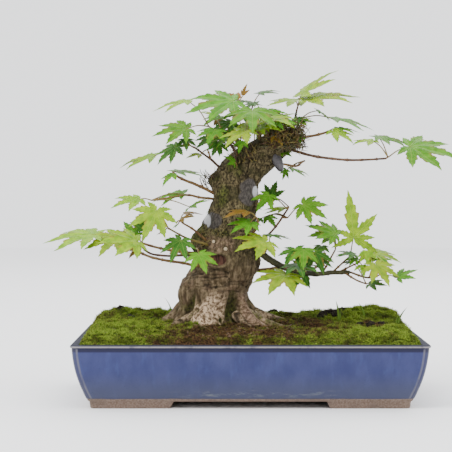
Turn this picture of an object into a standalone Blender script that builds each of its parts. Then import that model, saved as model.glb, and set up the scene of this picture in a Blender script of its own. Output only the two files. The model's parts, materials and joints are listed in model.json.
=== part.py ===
"""A Japanese maple bonsai in a glazed rectangular pot, modelled as the pieces it comes apart into.

The pot stands on four corner feet. Its two drain holes are covered by plastic mesh, each held by a
wire clip. Soil fills it, under a carpet of moss laid in four patches, and one leaning trunk is
rooted in the soil. Limbs grow from the trunk, and leafy sprays grow from both. +X runs along the
pot's long side, -Y is the front and +Z is up. The origin is on the table, under the pot's centre.
"""

import math

import bmesh
import bpy
from mathutils import Vector
from mathutils.bvhtree import BVHTree

for old in list(bpy.data.objects):
    bpy.data.objects.remove(old)

# Driving dimensions, in metres.
MM = 0.001
GAP = 0.0003  # between pieces that touch

POT_WIDTH = 0.254  # along X, over the lip
POT_DEPTH = 0.190  # along Y, over the lip
POT_HEIGHT = 0.046  # with the feet
POT_TAPER = 0.0107  # how far the wall draws in from under the lip to its foot
POT_CORNER = 0.004  # corner radius, seen from above
WALL = 0.006
FLOOR = 0.007
LIP_HEIGHT = 0.0020
LIP_PROUD = 0.001
LIP_ROUND = 0.0008
FOOT_HEIGHT = 0.005
FOOT_LENGTH = 0.061  # each foot's arm along X
FOOT_DEPTH = 0.045  # each foot's arm along Y
FOOT_THICK = 0.012
FOOT_SLANT = 0.0035  # the arms' ends lean back by this much
FOOT_SETBACK = 0.001  # from the foot of the wall

DRAIN_RADIUS = 0.008
DRAIN_SPACING = 0.120
MESH_OPENING = 0.0046
MESH_BAR = 0.0014
MESH_CELLS = 5  # openings along each side of a drain mesh
MESH_THICK = 0.001
CLIP_RADIUS = 0.0008
CLIP_REACH = 0.010  # how far each leg is bent out under the pot

MOUND = 0.008  # the foot of the trunk above the lip
MOSS_THICK = 0.003
MOSS_ROLL = 0.007  # width over which the moss rounds down to the wall
MOSS_EDGE_DROP = 0.0005  # its edge below the lip
MOSS_RISE = 0.0055  # above its edge, at the front
MOSS_BACK_RISE = 0.005  # more than that at the back
# Mounds in the moss: place across and along the pot as shares of its inside, height and half-widths.
MOSS_MOUNDS = [((-0.78, 0.5), 0.0035, (0.030, 0.035)), ((0.80, 0.5), 0.005, (0.032, 0.035))]
SEAT_DROP = 0.005  # the trunk's flat underside below its foot

TREE_HEIGHT = 0.192  # from the foot of the trunk to the highest leaf tip
FOOT_X, FOOT_Y = -0.022, 0.004
LEAF_THICK = 0.0008  # where the stalk meets the blade, from where it thins out to the rim
LEAF_DROOP = 0.16  # how far the side lobes hang below the leaf's plane, as a share of its length
STALK_RADIUS = 0.00042
SIDES = 40  # round the trunk, and round the ground that meets it

# The tree is laid out from the foot of its trunk, in 192nds of its height.
UNIT = TREE_HEIGHT / 192
FOOT = Vector((FOOT_X, FOOT_Y, POT_HEIGHT + MOUND))

# The trunk's centre line, with its radius at each point.
TRUNK = [
    ((-3, 0, 2), 23), ((-4, 0, 8), 23), ((-4.5, 0, 15), 23.5), ((-4.5, 0, 22), 24.5),
    ((-3, 0, 27.5), 24.5), ((-0.5, 0, 32.5), 23), ((3, -1, 38), 22), ((5.5, -2, 44), 22.4),
    ((6, -3, 51), 22.8), ((5, -4, 60), 22.3), ((6.5, -4, 68), 20.5), ((8.5, -5, 76), 18.8),
    ((10, -5, 84), 17.5),
    ((12, -4, 93), 17), ((12, -3, 102), 17), ((14, -3, 110), 17), ((20, -4, 118), 15), ((32, -7, 127), 13),
    ((43, -10, 134), 10.5), ((52, -12, 140), 8), ((57, -13, 144), 5.5),
]
# Surface roots: direction in degrees round the trunk, reach from its centre, and spread in degrees.
ROOTS = [
    (-112, 38, 21), (-58, 31, 10), (-33, 55, 12), (6, 62, 11), (48, 40, 14), (92, 38, 16),
    (133, 41, 14), (168, 58, 12), (-158, 45, 12),
]
ROOT_RISE = 34  # the height at which the roots have run into the trunk
CORE = 24  # the trunk's radius at its foot, which the roots stand out from
LEVEL_TO, LEAN_OVER = 10, 30  # the rings of the trunk are level up to the first, and square after both
# Burls and knobs: place, how far it stands out and how wide it is.
BURLS = [
    ((-15, -9, 63), 6, 9), ((-6, -6, 108), 5, 6), ((29, -5, 46), 3, 8), ((-26, -6, 23), 3.5, 9),
    ((8, 16, 72), 4, 12), ((20, 14, 30), 4, 12),
]

# Leaf shapes: each lobe's angle from the leaf's axis in degrees, and its length as a share of the
# middle lobe's. Every lobe but the middle one has a twin on the other side.
SEVEN = ((0, 1.0), (38, 0.9), (76, 0.7), (116, 0.42))
FIVE = ((0, 1.0), (43, 0.84), (90, 0.5))
THREE = ((0, 1.0), (48, 0.7))

GREEN = (0.24, 0.42, 0.07)
LIME = (0.45, 0.60, 0.14)
DARK = (0.10, 0.24, 0.05)
RED = (0.42, 0.22, 0.08)

# Limbs that grow from the trunk: radius at the base and at the end, then the route.
BRANCHES = {
    "branch_crown_left": (1.1, 0.7, [(8, -4, 116), (2, -6, 117), (-7, -12, 124), (-18, -18, 132)]),
    "branch_crown_front": (1.2, 0.75, [(15, -8, 119), (12, -18, 129), (5, -24, 138), (-3, -24,
        145)]),
    "branch_crown_top": (1.2, 0.75, [(32, -10, 131), (29, -14, 144), (23, -12, 155), (18, -8, 164)]),
    "branch_crown_right": (1.1, 0.7, [(53, -12, 140), (56, -6, 150), (58, -2, 160)]),
    "branch_right_long": (1.2, 0.75, [(45, -10, 134), (53, -13, 131), (66, -18, 127), (83, -22, 124),
        (100, -24, 123), (123, -24, 124)]),
    "branch_middle_right": (1.0, 0.7, [(18, -12, 57), (29, -17, 62), (37, -16, 68), (51, -10, 86)]),
    "branch_low_right": (3.0, 1.5, [(15, -8, 60), (27, -13, 56), (36, -18, 50), (46, -22, 44), (60,
        -22, 40), (73, -18, 38), (86, -14, 39), (98, -12, 39)]),
    "branch_low_left_yellow": (1.0, 0.65, [(-4, -16, 58), (-12, -24, 61), (-26, -28, 66), (-37, -30,
        72)]),
    "branch_low_left_middle": (1.1, 0.75, [(-7, -10, 50), (-16, -16, 51), (-24, -20, 52), (-40, -24,
        52), (-52, -26, 54), (-58, -28, 59)]),
    "branch_back_high": (1.3, 0.85, [(20, 2, 117), (19, 20, 124), (16, 38, 132)]),
}

# Leafy sprays: the limb that each grows from, how far along it, the shoot's radius and the shoot's
# route; then its leaves, each with the place where the blade meets its stalk, the tip of its middle
# lobe, the way its upper face looks, its shape and its colour.
SPRAYS = {
    "crown_left_tip": ("branch_crown_left", 1.00, 0.82, [(-22, -20, 134)], [
        ((-32, -24, 133), (-46, -28, 119), (-0.3, -0.6, 0.7), SEVEN, DARK),
        ((-49, -8, 126), (-76, 2, 117), (-0.2, -0.3, 0.9), FIVE, LIME),
        ((-25, -28, 138), (-24, -38, 129), (0, -0.5, 0.8), FIVE, DARK),
    ]),
    "crown_left_inner": ("branch_crown_left", 0.55, 0.82, [(-9, -18, 131)], [
        ((-14, -24, 127), (-25, -30, 124), (0, -0.4, 0.9), THREE, LIME),
    ]),
    "crown_left_high": ("branch_crown_front", 1.00, 0.82, [(-8, -20, 148)], [
        ((-23, 2, 168), (-51, 6, 160), (0, -0.3, 0.95), FIVE, LIME),
        ((-24, -30, 146), (-50, -33, 140), (-0.1, -0.65, 0.75), SEVEN, GREEN),
    ]),
    "crown_front_left": ("branch_crown_front", 0.60, 0.82, [(2, -30, 142)], [
        ((-3, -38, 145), (-9, -52, 133), (0, -0.6, 0.8), FIVE, GREEN),
        ((-1, -29, 136), (0, -37, 125), (0.2, -0.6, 0.7), FIVE, DARK),
        ((-2, -14, 153), (3, -20, 146), (0, -0.6, 0.8), THREE, RED),
    ]),
    "crown_top_left": ("branch_crown_top", 1.00, 0.82, [(15, -10, 167)], [
        ((10, -20, 167), (-26, -28, 157), (0, -0.6, 0.8), SEVEN, GREEN),
        ((18, -4, 172), (21, -2, 181), (-0.6, -0.7, 0.2), THREE, RED),
        ((14, -2, 169), (2, 8, 174), (-0.2, -0.5, 0.8), THREE, RED),
    ]),
    "crown_front": ("branch_crown_top", 0.40, 0.82, [(26, -28, 152)], [
        ((24, -40, 159), (24, -66, 141), (0, -0.7, 0.7), SEVEN, GREEN),
        ((19, -50, 144), (4, -64, 131), (-0.2, -0.6, 0.7), FIVE, LIME),
        ((17, -28, 137), (14, -33, 127), (-0.1, -0.7, 0.6), THREE, GREEN),
    ]),
    "crown_back": ("branch_crown_top", 0.75, 0.82, [(24, 2, 161)], [
        ((30, 10, 174), (47, 18, 176), (0, -0.2, 0.95), FIVE, DARK),
        ((26, 16, 166), (14, 30, 170), (0, 0, 1), FIVE, DARK),
    ]),
    "crown_right_top": ("branch_crown_right", 1.00, 0.82, [(59, -1, 164)], [
        ((65, 0, 169), (107, 8, 171), (0, -0.25, 0.95), SEVEN, LIME),
        ((62, 6, 173), (91, 16, 192), (-0.5, -0.3, 0.8), FIVE, LIME),
        ((57, -8, 168), (35, -18, 163), (0, -0.3, 0.95), FIVE, LIME),
    ]),
    "crown_right_middle": ("branch_crown_right", 0.50, 0.82, [(62, 0, 155)], [
        ((74, 6, 161), (85, 12, 153), (0.2, -0.4, 0.9), FIVE, GREEN),
        ((86, 10, 155), (118, 18, 146), (0.2, -0.2, 0.95), FIVE, GREEN),
        ((60, -12, 152), (72, -16, 151), (0.1, -0.6, 0.8), FIVE, GREEN),
    ]),
    "apex_front": ("branch_crown_right", 0.40, 0.82, [(50, -20, 153), (47, -26, 147)], [
        ((36, -36, 153), (54, -52, 147), (0, -0.5, 0.85), FIVE, LIME),
        ((30, -32, 146), (45, -44, 144), (0, -0.5, 0.85), FIVE, LIME),
        ((40, -28, 142), (47, -32, 133), (0, -0.8, 0.5), THREE, RED),
    ]),
    "right_high": ("trunk", 0.00, 1.2, [(53, -10, 140), (68, -4, 141), (80, -6, 144), (82, -8,
        145)], [
        ((85, -10, 145), (100, -18, 135), (0.1, -0.5, 0.85), FIVE, LIME),
        ((89, -2, 147), (106, 2, 144), (0, -0.3, 0.95), FIVE, GREEN),
    ]),
    "right_long_tip": ("branch_right_long", 1.00, 0.82, [(125, -24, 125)], [
        ((141, -26, 133), (178, -30, 122), (0, -0.6, 0.8), SEVEN, GREEN),
        ((120, -2, 140), (145, 4, 134), (0, -0.3, 0.95), SEVEN, GREEN),
        ((115, -8, 138), (99, -16, 134), (0, -0.3, 0.95), FIVE, LIME),
    ]),
    "right_under": ("trunk", 0.00, 1.0, [(40, -2, 121), (49, 3, 120), (59, 6, 119), (63, 8, 122),
        (65, 10, 123)], [
        ((54, 18, 117), (69, 24, 111), (0.2, -0.3, 0.9), FIVE, GREEN),
        ((51, 14, 116), (48, 16, 108), (-0.1, -0.7, 0.6), FIVE, GREEN),
    ]),
    "middle_right_tip": ("branch_middle_right", 1.00, 0.82, [(52, -9, 88)], [
        ((48, -6, 86), (33, 4, 85), (-0.1, -0.3, 0.95), FIVE, LIME),
        ((39, 12, 95), (44, 18, 108), (0, -0.9, 0.3), FIVE, DARK),
    ]),
    "middle_right_star": ("branch_middle_right", 0.85, 0.82, [(51, -14, 80)], [
        ((62, -22, 90), (80, -28, 79), (0.1, -0.85, 0.5), SEVEN, GREEN),
        ((36, 12, 81), (43, 6, 71), (0, -0.6, 0.7), THREE, GREEN),
        ((31, 14, 79), (27, 9, 73), (0, -0.6, 0.7), THREE, GREEN),
    ]),
    "low_right_inner": ("branch_low_right", 0.22, 0.82, [(37, -30, 59)], [
        ((34, -42, 63), (11, -56, 56), (0, -0.7, 0.7), SEVEN, LIME),
        ((37, -28, 67), (52, -18, 65), (0, -0.2, 0.95), SEVEN, DARK),
    ]),
    "low_right_dark": ("branch_low_right", 0.52, 0.82, [(62, -26, 47)], [
        ((56, -34, 57), (60, -48, 42), (0, -0.6, 0.7), SEVEN, DARK),
        ((70, -24, 51), (84, -30, 43), (0.2, -0.6, 0.7), SEVEN, DARK),
    ]),
    "low_right_under": ("trunk", 0.00, 1.3, [(18, 0, 40), (30, 0, 40), (40, 2, 41), (52, 4, 43),
        (61, 2, 46), (62, 0, 48)], [
        ((61, -4, 43), (55, -10, 23), (-0.1, -0.8, 0.5), SEVEN, DARK),
    ]),
    "low_right_bright": ("branch_low_right", 0.42, 0.82, [(51, -34, 42)], [
        ((48, -42, 39), (35, -66, 25), (0, -0.7, 0.7), SEVEN, LIME),
    ]),
    "low_right_small": ("branch_low_right", 0.66, 0.82, [(79, -14, 52)], [
        ((76, -20, 59), (74, -30, 52), (0, -0.7, 0.7), FIVE, DARK),
    ]),
    "low_right_green": ("branch_low_right", 0.76, 0.82, [(87, -10, 56)], [
        ((85, -14, 67), (64, -8, 74), (0, -0.6, 0.8), SEVEN, GREEN),
    ]),
    "low_right_upright": ("branch_low_right", 0.85, 0.82, [(98, -12, 51)], [
        ((100, -18, 65), (96, -12, 101), (0.1, -0.95, 0.15), SEVEN, LIME),
    ]),
    "low_right_end_top": ("branch_low_right", 0.90, 0.82, [(104, -12, 46)], [
        ((114, -14, 54), (136, -18, 46), (0.1, -0.4, 0.9), SEVEN, LIME),
        ((109, -28, 56), (109, -36, 45), (0, -0.7, 0.6), THREE, LIME),
        ((101, 0, 52), (88, 6, 51), (0, -0.2, 0.95), FIVE, DARK),
    ]),
    "low_right_end_far": ("branch_low_right", 1.00, 0.82, [(112, -12, 35), (120, -14, 37)], [
        ((133, -16, 35), (149, -12, 41), (0, -0.5, 0.85), FIVE, GREEN),
        ((115, -38, 46), (124, -50, 30), (0.1, -0.7, 0.7), SEVEN, LIME),
    ]),
    "low_right_end_under": ("branch_low_right", 0.95, 0.82, [(103, -18, 33), (109, -24, 31)], [
        ((111, -28, 31), (124, -34, 30), (0, -0.6, 0.8), FIVE, DARK),
        ((100, 4, 46), (92, 8, 44), (0, -0.5, 0.8), THREE, DARK),
    ]),
    "middle_left": ("trunk", 0.00, 1.3, [(5, -6, 95), (-6, -10, 99), (-18, -16, 105), (-34, -22,
        113), (-35, -22, 114)], [
        ((-32, -18, 114), (-13, -2, 113), (0, -0.3, 0.95), FIVE, GREEN),
        ((-34, -26, 113), (-42, -34, 103), (-0.2, -0.4, 0.9), THREE, GREEN),
    ]),
    "middle_left_long": ("trunk", 0.00, 1.0, [(5, -4, 92), (-6, -7, 94), (-15, -12, 95), (-23, -16,
        97), (-37, -16, 95), (-51, -14, 93)], [
        ((-27, -12, 98), (-51, -6, 91), (0, -0.4, 0.9), FIVE, GREEN),
        ((-22, -28, 88), (-7, -36, 93), (0.1, -0.5, 0.85), FIVE, GREEN),
        ((-60, -18, 94), (-81, -26, 87), (0, -0.5, 0.85), FIVE, LIME),
    ]),
    "low_left_star": ("branch_low_left_yellow", 1.00, 0.82, [(-38, -32, 73)], [
        ((-46, -40, 86), (-56, -50, 63), (0, -0.8, 0.6), SEVEN, LIME),
        ((-40, -28, 71), (-47, -24, 67), (0, -0.4, 0.9), THREE, RED),
    ]),
    "low_left_red": ("trunk", 0.00, 1.0, [(-6, -14, 60), (-12, -22, 65), (-20, -24, 72), (-28, -26,
        77), (-29, -26, 78)], [
        ((-29, -30, 79), (-18, -38, 81), (0, -0.6, 0.8), FIVE, RED),
        ((-27, -14, 83), (-12, -12, 82), (0, -0.3, 0.95), THREE, RED),
        ((-31, -24, 75), (-35, -22, 72), (0, -0.5, 0.8), THREE, GREEN),
    ]),
    "low_left_dark": ("branch_low_left_yellow", 0.50, 0.82, [(-24, -34, 65)], [
        ((-28, -42, 64), (-36, -50, 47), (-0.1, -0.8, 0.6), SEVEN, DARK),
    ]),
    "low_left_bright": ("branch_low_left_middle", 0.12, 0.82, [(-17, -36, 58)], [
        ((-15, -51, 54), (-9, -62, 40), (0, -0.8, 0.6), SEVEN, GREEN),
    ]),
    "low_left_tip": ("branch_low_left_middle", 1.00, 0.82, [(-59, -30, 61)], [
        ((-61, -34, 63), (-89, -44, 62), (0, -0.7, 0.7), SEVEN, LIME),
        ((-60, -28, 57), (-67, -34, 50), (0, -0.5, 0.8), THREE, RED),
    ]),
    "low_left_end": ("trunk", 0.00, 1.2, [(-7, -12, 44), (-18, -18, 44), (-26, -22, 46), (-38, -22,
        48), (-52, -18, 51), (-67, -12, 58), (-72, -10, 61)], [
        ((-95, -4, 67), (-134, 0, 60), (0, -0.35, 0.9), SEVEN, LIME),
        ((-76, -12, 65), (-102, -16, 56), (0, -0.6, 0.8), SEVEN, LIME),
    ]),
    "low_left_mixed": ("trunk", 0.00, 1.2, [(-7, -4, 52), (-18, -8, 53), (-28, -10, 54), (-40, -12,
        56), (-55, -14, 60), (-58, -14, 61)], [
        ((-64, -8, 66), (-73, 2, 77), (-0.1, -0.7, 0.7), FIVE, GREEN),
        ((-57, -12, 71), (-61, -4, 83), (0, -0.8, 0.5), FIVE, DARK),
    ]),
    "trunk_front": ("trunk", 0.00, 0.9, [(20, -12, 66), (25, -24, 69), (28, -28, 74), (28, -30, 79),
        (27, -30, 81)], [
        ((23, -36, 77), (8, -46, 69), (0, -0.6, 0.8), SEVEN, GREEN),
        ((21, -32, 85), (2, -42, 80), (0, -0.3, 0.95), THREE, RED),
    ]),
    "back_high_left": ("branch_back_high", 1.00, 0.82, [(10, 48, 138)], [
        ((3, 56, 146), (-13, 74, 142), (0, 0.5, 0.85), SEVEN, GREEN),
        ((14, 62, 151), (10, 88, 146), (0, 0.6, 0.8), SEVEN, GREEN),
        ((2, 36, 156), (-14, 50, 162), (-0.1, 0.3, 0.95), SEVEN, LIME),
    ]),
    "back_high_right": ("branch_back_high", 0.60, 0.82, [(27, 40, 136)], [
        ((35, 46, 146), (54, 60, 142), (0.1, 0.5, 0.85), SEVEN, GREEN),
        ((40, 32, 155), (55, 50, 159), (0, 0.3, 0.95), SEVEN, LIME),
        ((27, 46, 157), (29, 76, 155), (0, 0.5, 0.85), SEVEN, GREEN),
    ]),
    "back_low": ("trunk", 0.00, 1.6, [(9, 4, 69), (9, 22, 73), (12, 40, 79), (13, 46, 82)], [
        ((6, 52, 88), (-3, 70, 80), (-0.2, 0.6, 0.8), SEVEN, GREEN),
        ((16, 56, 91), (22, 80, 84), (0.2, 0.6, 0.8), SEVEN, GREEN),
        ((11, 48, 75), (13, 68, 62), (0, 0.8, 0.6), FIVE, DARK),
    ]),
}


def material(name, colour, roughness, metallic=0.0):
    made = bpy.data.materials.new(name)
    made.use_nodes = True
    shader = made.node_tree.nodes["Principled BSDF"]
    shader.inputs["Base Color"].default_value = (*colour, 1.0)
    shader.inputs["Roughness"].default_value = roughness
    shader.inputs["Metallic"].default_value = metallic
    return made


def solid(name, points, faces, finish, helper=False):
    """An object of its own with this mesh, faces outward. A helper only cuts or joins another object."""
    mesh = bpy.data.meshes.new(name)
    mesh.from_pydata([tuple(p) for p in points], [], faces)
    shaped = bmesh.new()
    shaped.from_mesh(mesh)
    bmesh.ops.recalc_face_normals(shaped, faces=shaped.faces)
    shaped.to_mesh(mesh)
    shaped.free()
    mesh.materials.append(finish)
    made = bpy.data.objects.new(name, mesh)
    bpy.context.scene.collection.objects.link(made)
    if helper:
        made.hide_render = True
        made.display_type = "WIRE"
    return made


def loft(rings):
    """Points and faces of a closed skin over these rings of points, with a cap on the first and the last."""
    count = len(rings[0])
    faces = [tuple(range(count)), tuple(range((len(rings) - 1) * count, len(rings) * count))]
    for low in range(0, (len(rings) - 1) * count, count):
        for i in range(count):
            j = (i + 1) % count
            faces.append((low + i, low + j, low + count + j, low + count + i))
    return [p for ring in rings for p in ring], faces


def tube(path, radii, sides):
    """A round bar along the path, its rings square to it and carried along it without twist."""
    rings = []
    across = Vector((0.31, 0.77, 0.56))
    for i, centre in enumerate(path):
        along = (path[min(i + 1, len(path) - 1)] - path[max(i - 1, 0)]).normalized()
        across = (across - along * across.dot(along)).normalized()
        up = along.cross(across)
        turns = [2 * math.pi * k / sides for k in range(sides)]
        rings.append([centre + radii[i] * (math.cos(a) * across + math.sin(a) * up) for a in turns])
    return loft(rings)


def evenly(first, last, count):
    return [first + (last - first) * i / (count - 1) for i in range(count)]


def combine(target, operation, helpers):
    """Joins the helpers to the target, or cuts them from it."""
    group = bpy.data.collections.new(target.name + "_" + operation.lower())
    for helper in helpers:
        group.objects.link(helper)
    step = target.modifiers.new(operation.lower(), "BOOLEAN")
    step.operation = operation
    step.operand_type = "COLLECTION"
    step.collection = group


# The pot.

DRAINS = (-DRAIN_SPACING / 2, DRAIN_SPACING / 2)
INSIDE_FLOOR = FOOT_HEIGHT + FLOOR
INSIDE_LEVELS = evenly(POT_HEIGHT - LIP_ROUND, INSIDE_FLOOR, 5)


def wall_inset(z):
    """How far the wall at this height has drawn in from under the lip: as the square of the depth."""
    return POT_TAPER * ((POT_HEIGHT - z) / (POT_HEIGHT - FOOT_HEIGHT)) ** 2


def pot_ring(z, inset, corner):
    """A rounded rectangle at this height, drawn in from the lip's outline by the inset."""
    half_x, half_y = POT_WIDTH / 2 - inset - corner, POT_DEPTH / 2 - inset - corner
    ring = []
    for quarter, (sx, sy) in enumerate(((1, 1), (-1, 1), (-1, -1), (1, -1))):
        for k in range(4):
            angle = math.radians(90 * quarter + 30 * k)
            x = sx * half_x + corner * math.cos(angle)
            ring.append((x, sy * half_y + corner * math.sin(angle), z))
    return ring


def make_pot(finish):
    """The walls, floor and lip as one skin, with the feet joined to it and the drain holes cut."""
    under_lip = POT_HEIGHT - LIP_HEIGHT
    rings = []
    for z in evenly(FOOT_HEIGHT, under_lip, 6):
        rings.append(pot_ring(z, LIP_PROUD + wall_inset(z), POT_CORNER))
    rings.append(pot_ring(under_lip, 0, POT_CORNER))
    rings.append(pot_ring(POT_HEIGHT - LIP_ROUND, 0, POT_CORNER))
    rings.append(pot_ring(POT_HEIGHT, LIP_ROUND, POT_CORNER))
    rings.append(pot_ring(POT_HEIGHT, WALL - LIP_ROUND, POT_CORNER / 2))
    for z in INSIDE_LEVELS:
        rings.append(pot_ring(z, WALL + wall_inset(z), POT_CORNER / 2))
    pot = solid("pot", *loft(rings), finish)
    feet = []
    foot_x = POT_WIDTH / 2 - LIP_PROUD - wall_inset(FOOT_HEIGHT) - FOOT_SETBACK
    foot_y = POT_DEPTH / 2 - LIP_PROUD - wall_inset(FOOT_HEIGHT) - FOOT_SETBACK
    sunk = FLOOR / 4
    for sx in (1, -1):
        for sy in (1, -1):
            outline = []
            for z, back, out in ((0, FOOT_SLANT, FOOT_SETBACK), (FOOT_HEIGHT + sunk, 0, 0)):
                x1, y1 = foot_x - out, foot_y - out
                x0, y0 = foot_x - FOOT_LENGTH + back, foot_y - FOOT_DEPTH + back
                corner_x, corner_y = foot_x - FOOT_THICK, foot_y - FOOT_THICK
                ends = [(x0, y1), (x0, corner_y), (corner_x, corner_y), (corner_x, y0), (x1, y0), (x1, y1)]
                outline.append([(sx * x, sy * y, z) for x, y in ends])
            feet.append(solid("foot_block", *loft(outline), finish, helper=True))
    combine(pot, "UNION", feet)
    holes = []
    for x in DRAINS:
        middle = Vector((x, 0, FOOT_HEIGHT + FLOOR / 2))
        half = Vector((0, 0, FLOOR))
        drill = tube([middle - half, middle + half], [DRAIN_RADIUS] * 2, 24)
        holes.append(solid("drill", *drill, finish, helper=True))
    combine(pot, "DIFFERENCE", holes)


clay_and_glaze = material("glazed_clay", (0.075, 0.10, 0.30), 0.22)
make_pot(clay_and_glaze)


# Drain meshes and the clips that hold them.

def make_drain_mesh(name, x, finish):
    """A square lattice: bars between square openings, with a solid border."""
    edges = [0.0]
    for cell in range(MESH_CELLS):
        edges += [edges[-1] + MESH_BAR, edges[-1] + MESH_BAR + MESH_OPENING]
    edges.append(edges[-1] + MESH_BAR)
    low = -edges[-1] / 2
    count = len(edges)
    z = INSIDE_FLOOR + GAP
    points = [(x + low + a, low + b, z) for b in edges for a in edges]
    faces = []
    for j in range(count - 1):
        for i in range(count - 1):
            if i % 2 == 0 or j % 2 == 0:
                first = j * count + i
                faces.append((first, first + 1, first + count + 1, first + count))
    lattice = solid(name, points, faces, finish)
    for face in lattice.data.polygons:
        if face.normal.z < 0:
            face.flip()
    thick = lattice.modifiers.new("thick", "SOLIDIFY")
    thick.thickness = MESH_THICK
    thick.offset = 1
    return edges[-1]


def make_clip(name, x, finish):
    """Wire over the mesh, down through it and the drain hole, and bent out under the floor."""
    leg = MESH_OPENING + MESH_BAR
    top = INSIDE_FLOOR + GAP + MESH_THICK + GAP + CLIP_RADIUS
    low = FOOT_HEIGHT - GAP - CLIP_RADIUS
    bend = 2 * CLIP_RADIUS
    half = [
        (leg + CLIP_REACH, low), (leg + bend, low), (leg + 0.3 * bend, low + 0.3 * bend),
        (leg, low + bend), (leg, top - bend), (leg - 0.3 * bend, top - 0.3 * bend), (leg - bend, top),
    ]
    route = [Vector((x - a, 0, z)) for a, z in half]
    route += [Vector((x + a, 0, z)) for a, z in reversed(half)]
    solid(name, *tube(route, [CLIP_RADIUS] * len(route), 8), finish)


mesh_plastic = material("mesh_plastic", (0.03, 0.05, 0.04), 0.5)
clip_wire = material("clip_wire", (0.75, 0.75, 0.77), 0.35, 1.0)
for side, drain_x in zip(("left", "right"), DRAINS):
    mesh_side = make_drain_mesh("drain_mesh_" + side, drain_x, mesh_plastic)
    make_clip("mesh_clip_" + side, drain_x, clip_wire)


# The trunk.

def angle_between(a, b):
    """Degrees from b to a, from -180 to 180."""
    return (a - b + 180) % 360 - 180


def root_reach(angle, height):
    """How far the skin stands out past the core, where the roots run down into the ground."""
    if height >= ROOT_RISE:
        return 0.0
    fall = (1 - height / ROOT_RISE) ** 2.2
    swell = 0.0
    for at, reach, wide in ROOTS:
        aside = angle_between(angle, at) / wide
        swell = max(swell, (reach - CORE) * math.exp(-aside * aside))
    return fall * swell


def burl_rise(place):
    """How far the burls near this place push the skin out."""
    total = 0.0
    for centre, rise, wide in BURLS:
        total += rise * math.exp(-(((place - Vector(centre)).length / wide) ** 2))
    return total


def trunk_rings():
    """The trunk's rings of points: level up to LEVEL_TO, then leaning over to lie square to its line."""
    places = [Vector(p) for p, _ in TRUNK]
    radii = [r for _, r in TRUNK]
    seat = -SEAT_DROP / UNIT
    rows = [(Vector((0, 0, seat)), CORE, Vector((0, 0, 1)))]
    for i, (place, radius) in enumerate(zip(places, radii)):
        along = (places[min(i + 1, len(places) - 1)] - places[max(i - 1, 0)]).normalized()
        lean = min(max(place.z - LEVEL_TO, 0) / LEAN_OVER, 1)
        square = Vector((0, 0, 1)).lerp(along, lean).normalized()
        rows.append((place, radius, square))
    rings = []
    for place, radius, square in rows:
        east = (Vector((1, 0, 0)) - square * square.x).normalized()
        north = square.cross(east)
        ring = []
        for angle in GROUND_ANGLES:
            out = math.cos(math.radians(angle)) * east + math.sin(math.radians(angle)) * north
            reach = radius + root_reach(angle, place.z - seat)
            reach += burl_rise(place + out * reach)
            ring.append(FOOT + (place + out * reach) * UNIT)
        rings.append(ring)
    for point in rings[0]:
        point.z = SEAT + GAP
    return rings


def inner_half(z):
    """Half the width and half the depth of the space inside the pot at this height."""
    inset = WALL + wall_inset(z)
    return POT_WIDTH / 2 - inset, POT_DEPTH / 2 - inset


def corner_angle(sx, sy):
    """The direction of one inside corner of the pot, seen from the foot of the trunk."""
    half_x, half_y = inner_half(POT_HEIGHT)
    return math.degrees(math.atan2(sy * half_y - FOOT_Y, sx * half_x - FOOT_X))


SEAT = FOOT.z - SEAT_DROP
CORNERS = [corner_angle(-1, -1), corner_angle(1, -1), corner_angle(1, 1), corner_angle(-1, 1)]
GROUND_ANGLES = [-180 + 360 * k / SIDES for k in range(SIDES)]
for corner in CORNERS:
    nearest = min(range(SIDES), key=lambda k: abs(angle_between(GROUND_ANGLES[k], corner)))
    GROUND_ANGLES[nearest] = corner

bark = material("bark", (0.20, 0.13, 0.085), 0.85)
TRUNK_RINGS = trunk_rings()
trunk = solid("trunk", *loft(TRUNK_RINGS), bark)


# The soil and the moss on it.

def moss_top(x, y):
    """Height of the moss: nearly level with the lip at the wall, rounding up to a bed that rises to the
    back by a smooth step, and swelling as a bell at each mound."""
    half_x, half_y = inner_half(POT_HEIGHT)
    inwards = max(min(half_x - abs(x), half_y - abs(y)), 0)
    roll = 1 - math.exp(-inwards / MOSS_ROLL)
    back = min(max((y + half_y) / (1.45 * half_y), 0), 1)
    rise = MOSS_RISE + MOSS_BACK_RISE * back * back * (3 - 2 * back)
    for (across, deep), height, (wide_x, wide_y) in MOSS_MOUNDS:
        away = math.hypot((x - across * half_x) / wide_x, (y - deep * half_y) / wide_y)
        rise += height * math.exp(-away * away)
    return POT_HEIGHT - MOSS_EDGE_DROP + roll * rise


def wall_reach(angle, z):
    """Distance from the foot of the trunk to the wall of the pot, this way and at this height."""
    half_x, half_y = inner_half(z)
    dx, dy = math.cos(math.radians(angle)), math.sin(math.radians(angle))
    to_x = (math.copysign(half_x, dx) - FOOT_X) / dx if abs(dx) > 1e-6 else math.inf
    to_y = (math.copysign(half_y, dy) - FOOT_Y) / dy if abs(dy) > 1e-6 else math.inf
    ease = POT_CORNER if any(abs(angle_between(angle, c)) < 0.5 for c in CORNERS) else 0
    return min(to_x, to_y) - 2 * GAP - ease


def ground_place(k, share, z=None, lift=0.0):
    """A point on the ground, in the direction of side k, at this share of the way from trunk to wall."""
    edge = TRUNK_RINGS[0][k] - FOOT
    start = math.hypot(edge.x, edge.y) + 2 * GAP
    level = POT_HEIGHT if z is None else z
    reach = start + share * (wall_reach(GROUND_ANGLES[k], level) - start)
    angle = math.radians(GROUND_ANGLES[k])
    x, y = FOOT_X + reach * math.cos(angle), FOOT_Y + reach * math.sin(angle)
    return Vector((x, y, (moss_top(x, y) if z is None else z) + lift))


GROUND_ROWS = (0.0, 0.25, 0.55, 0.8, 0.93, 1.0)  # shares of the way from the trunk to the wall


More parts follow.
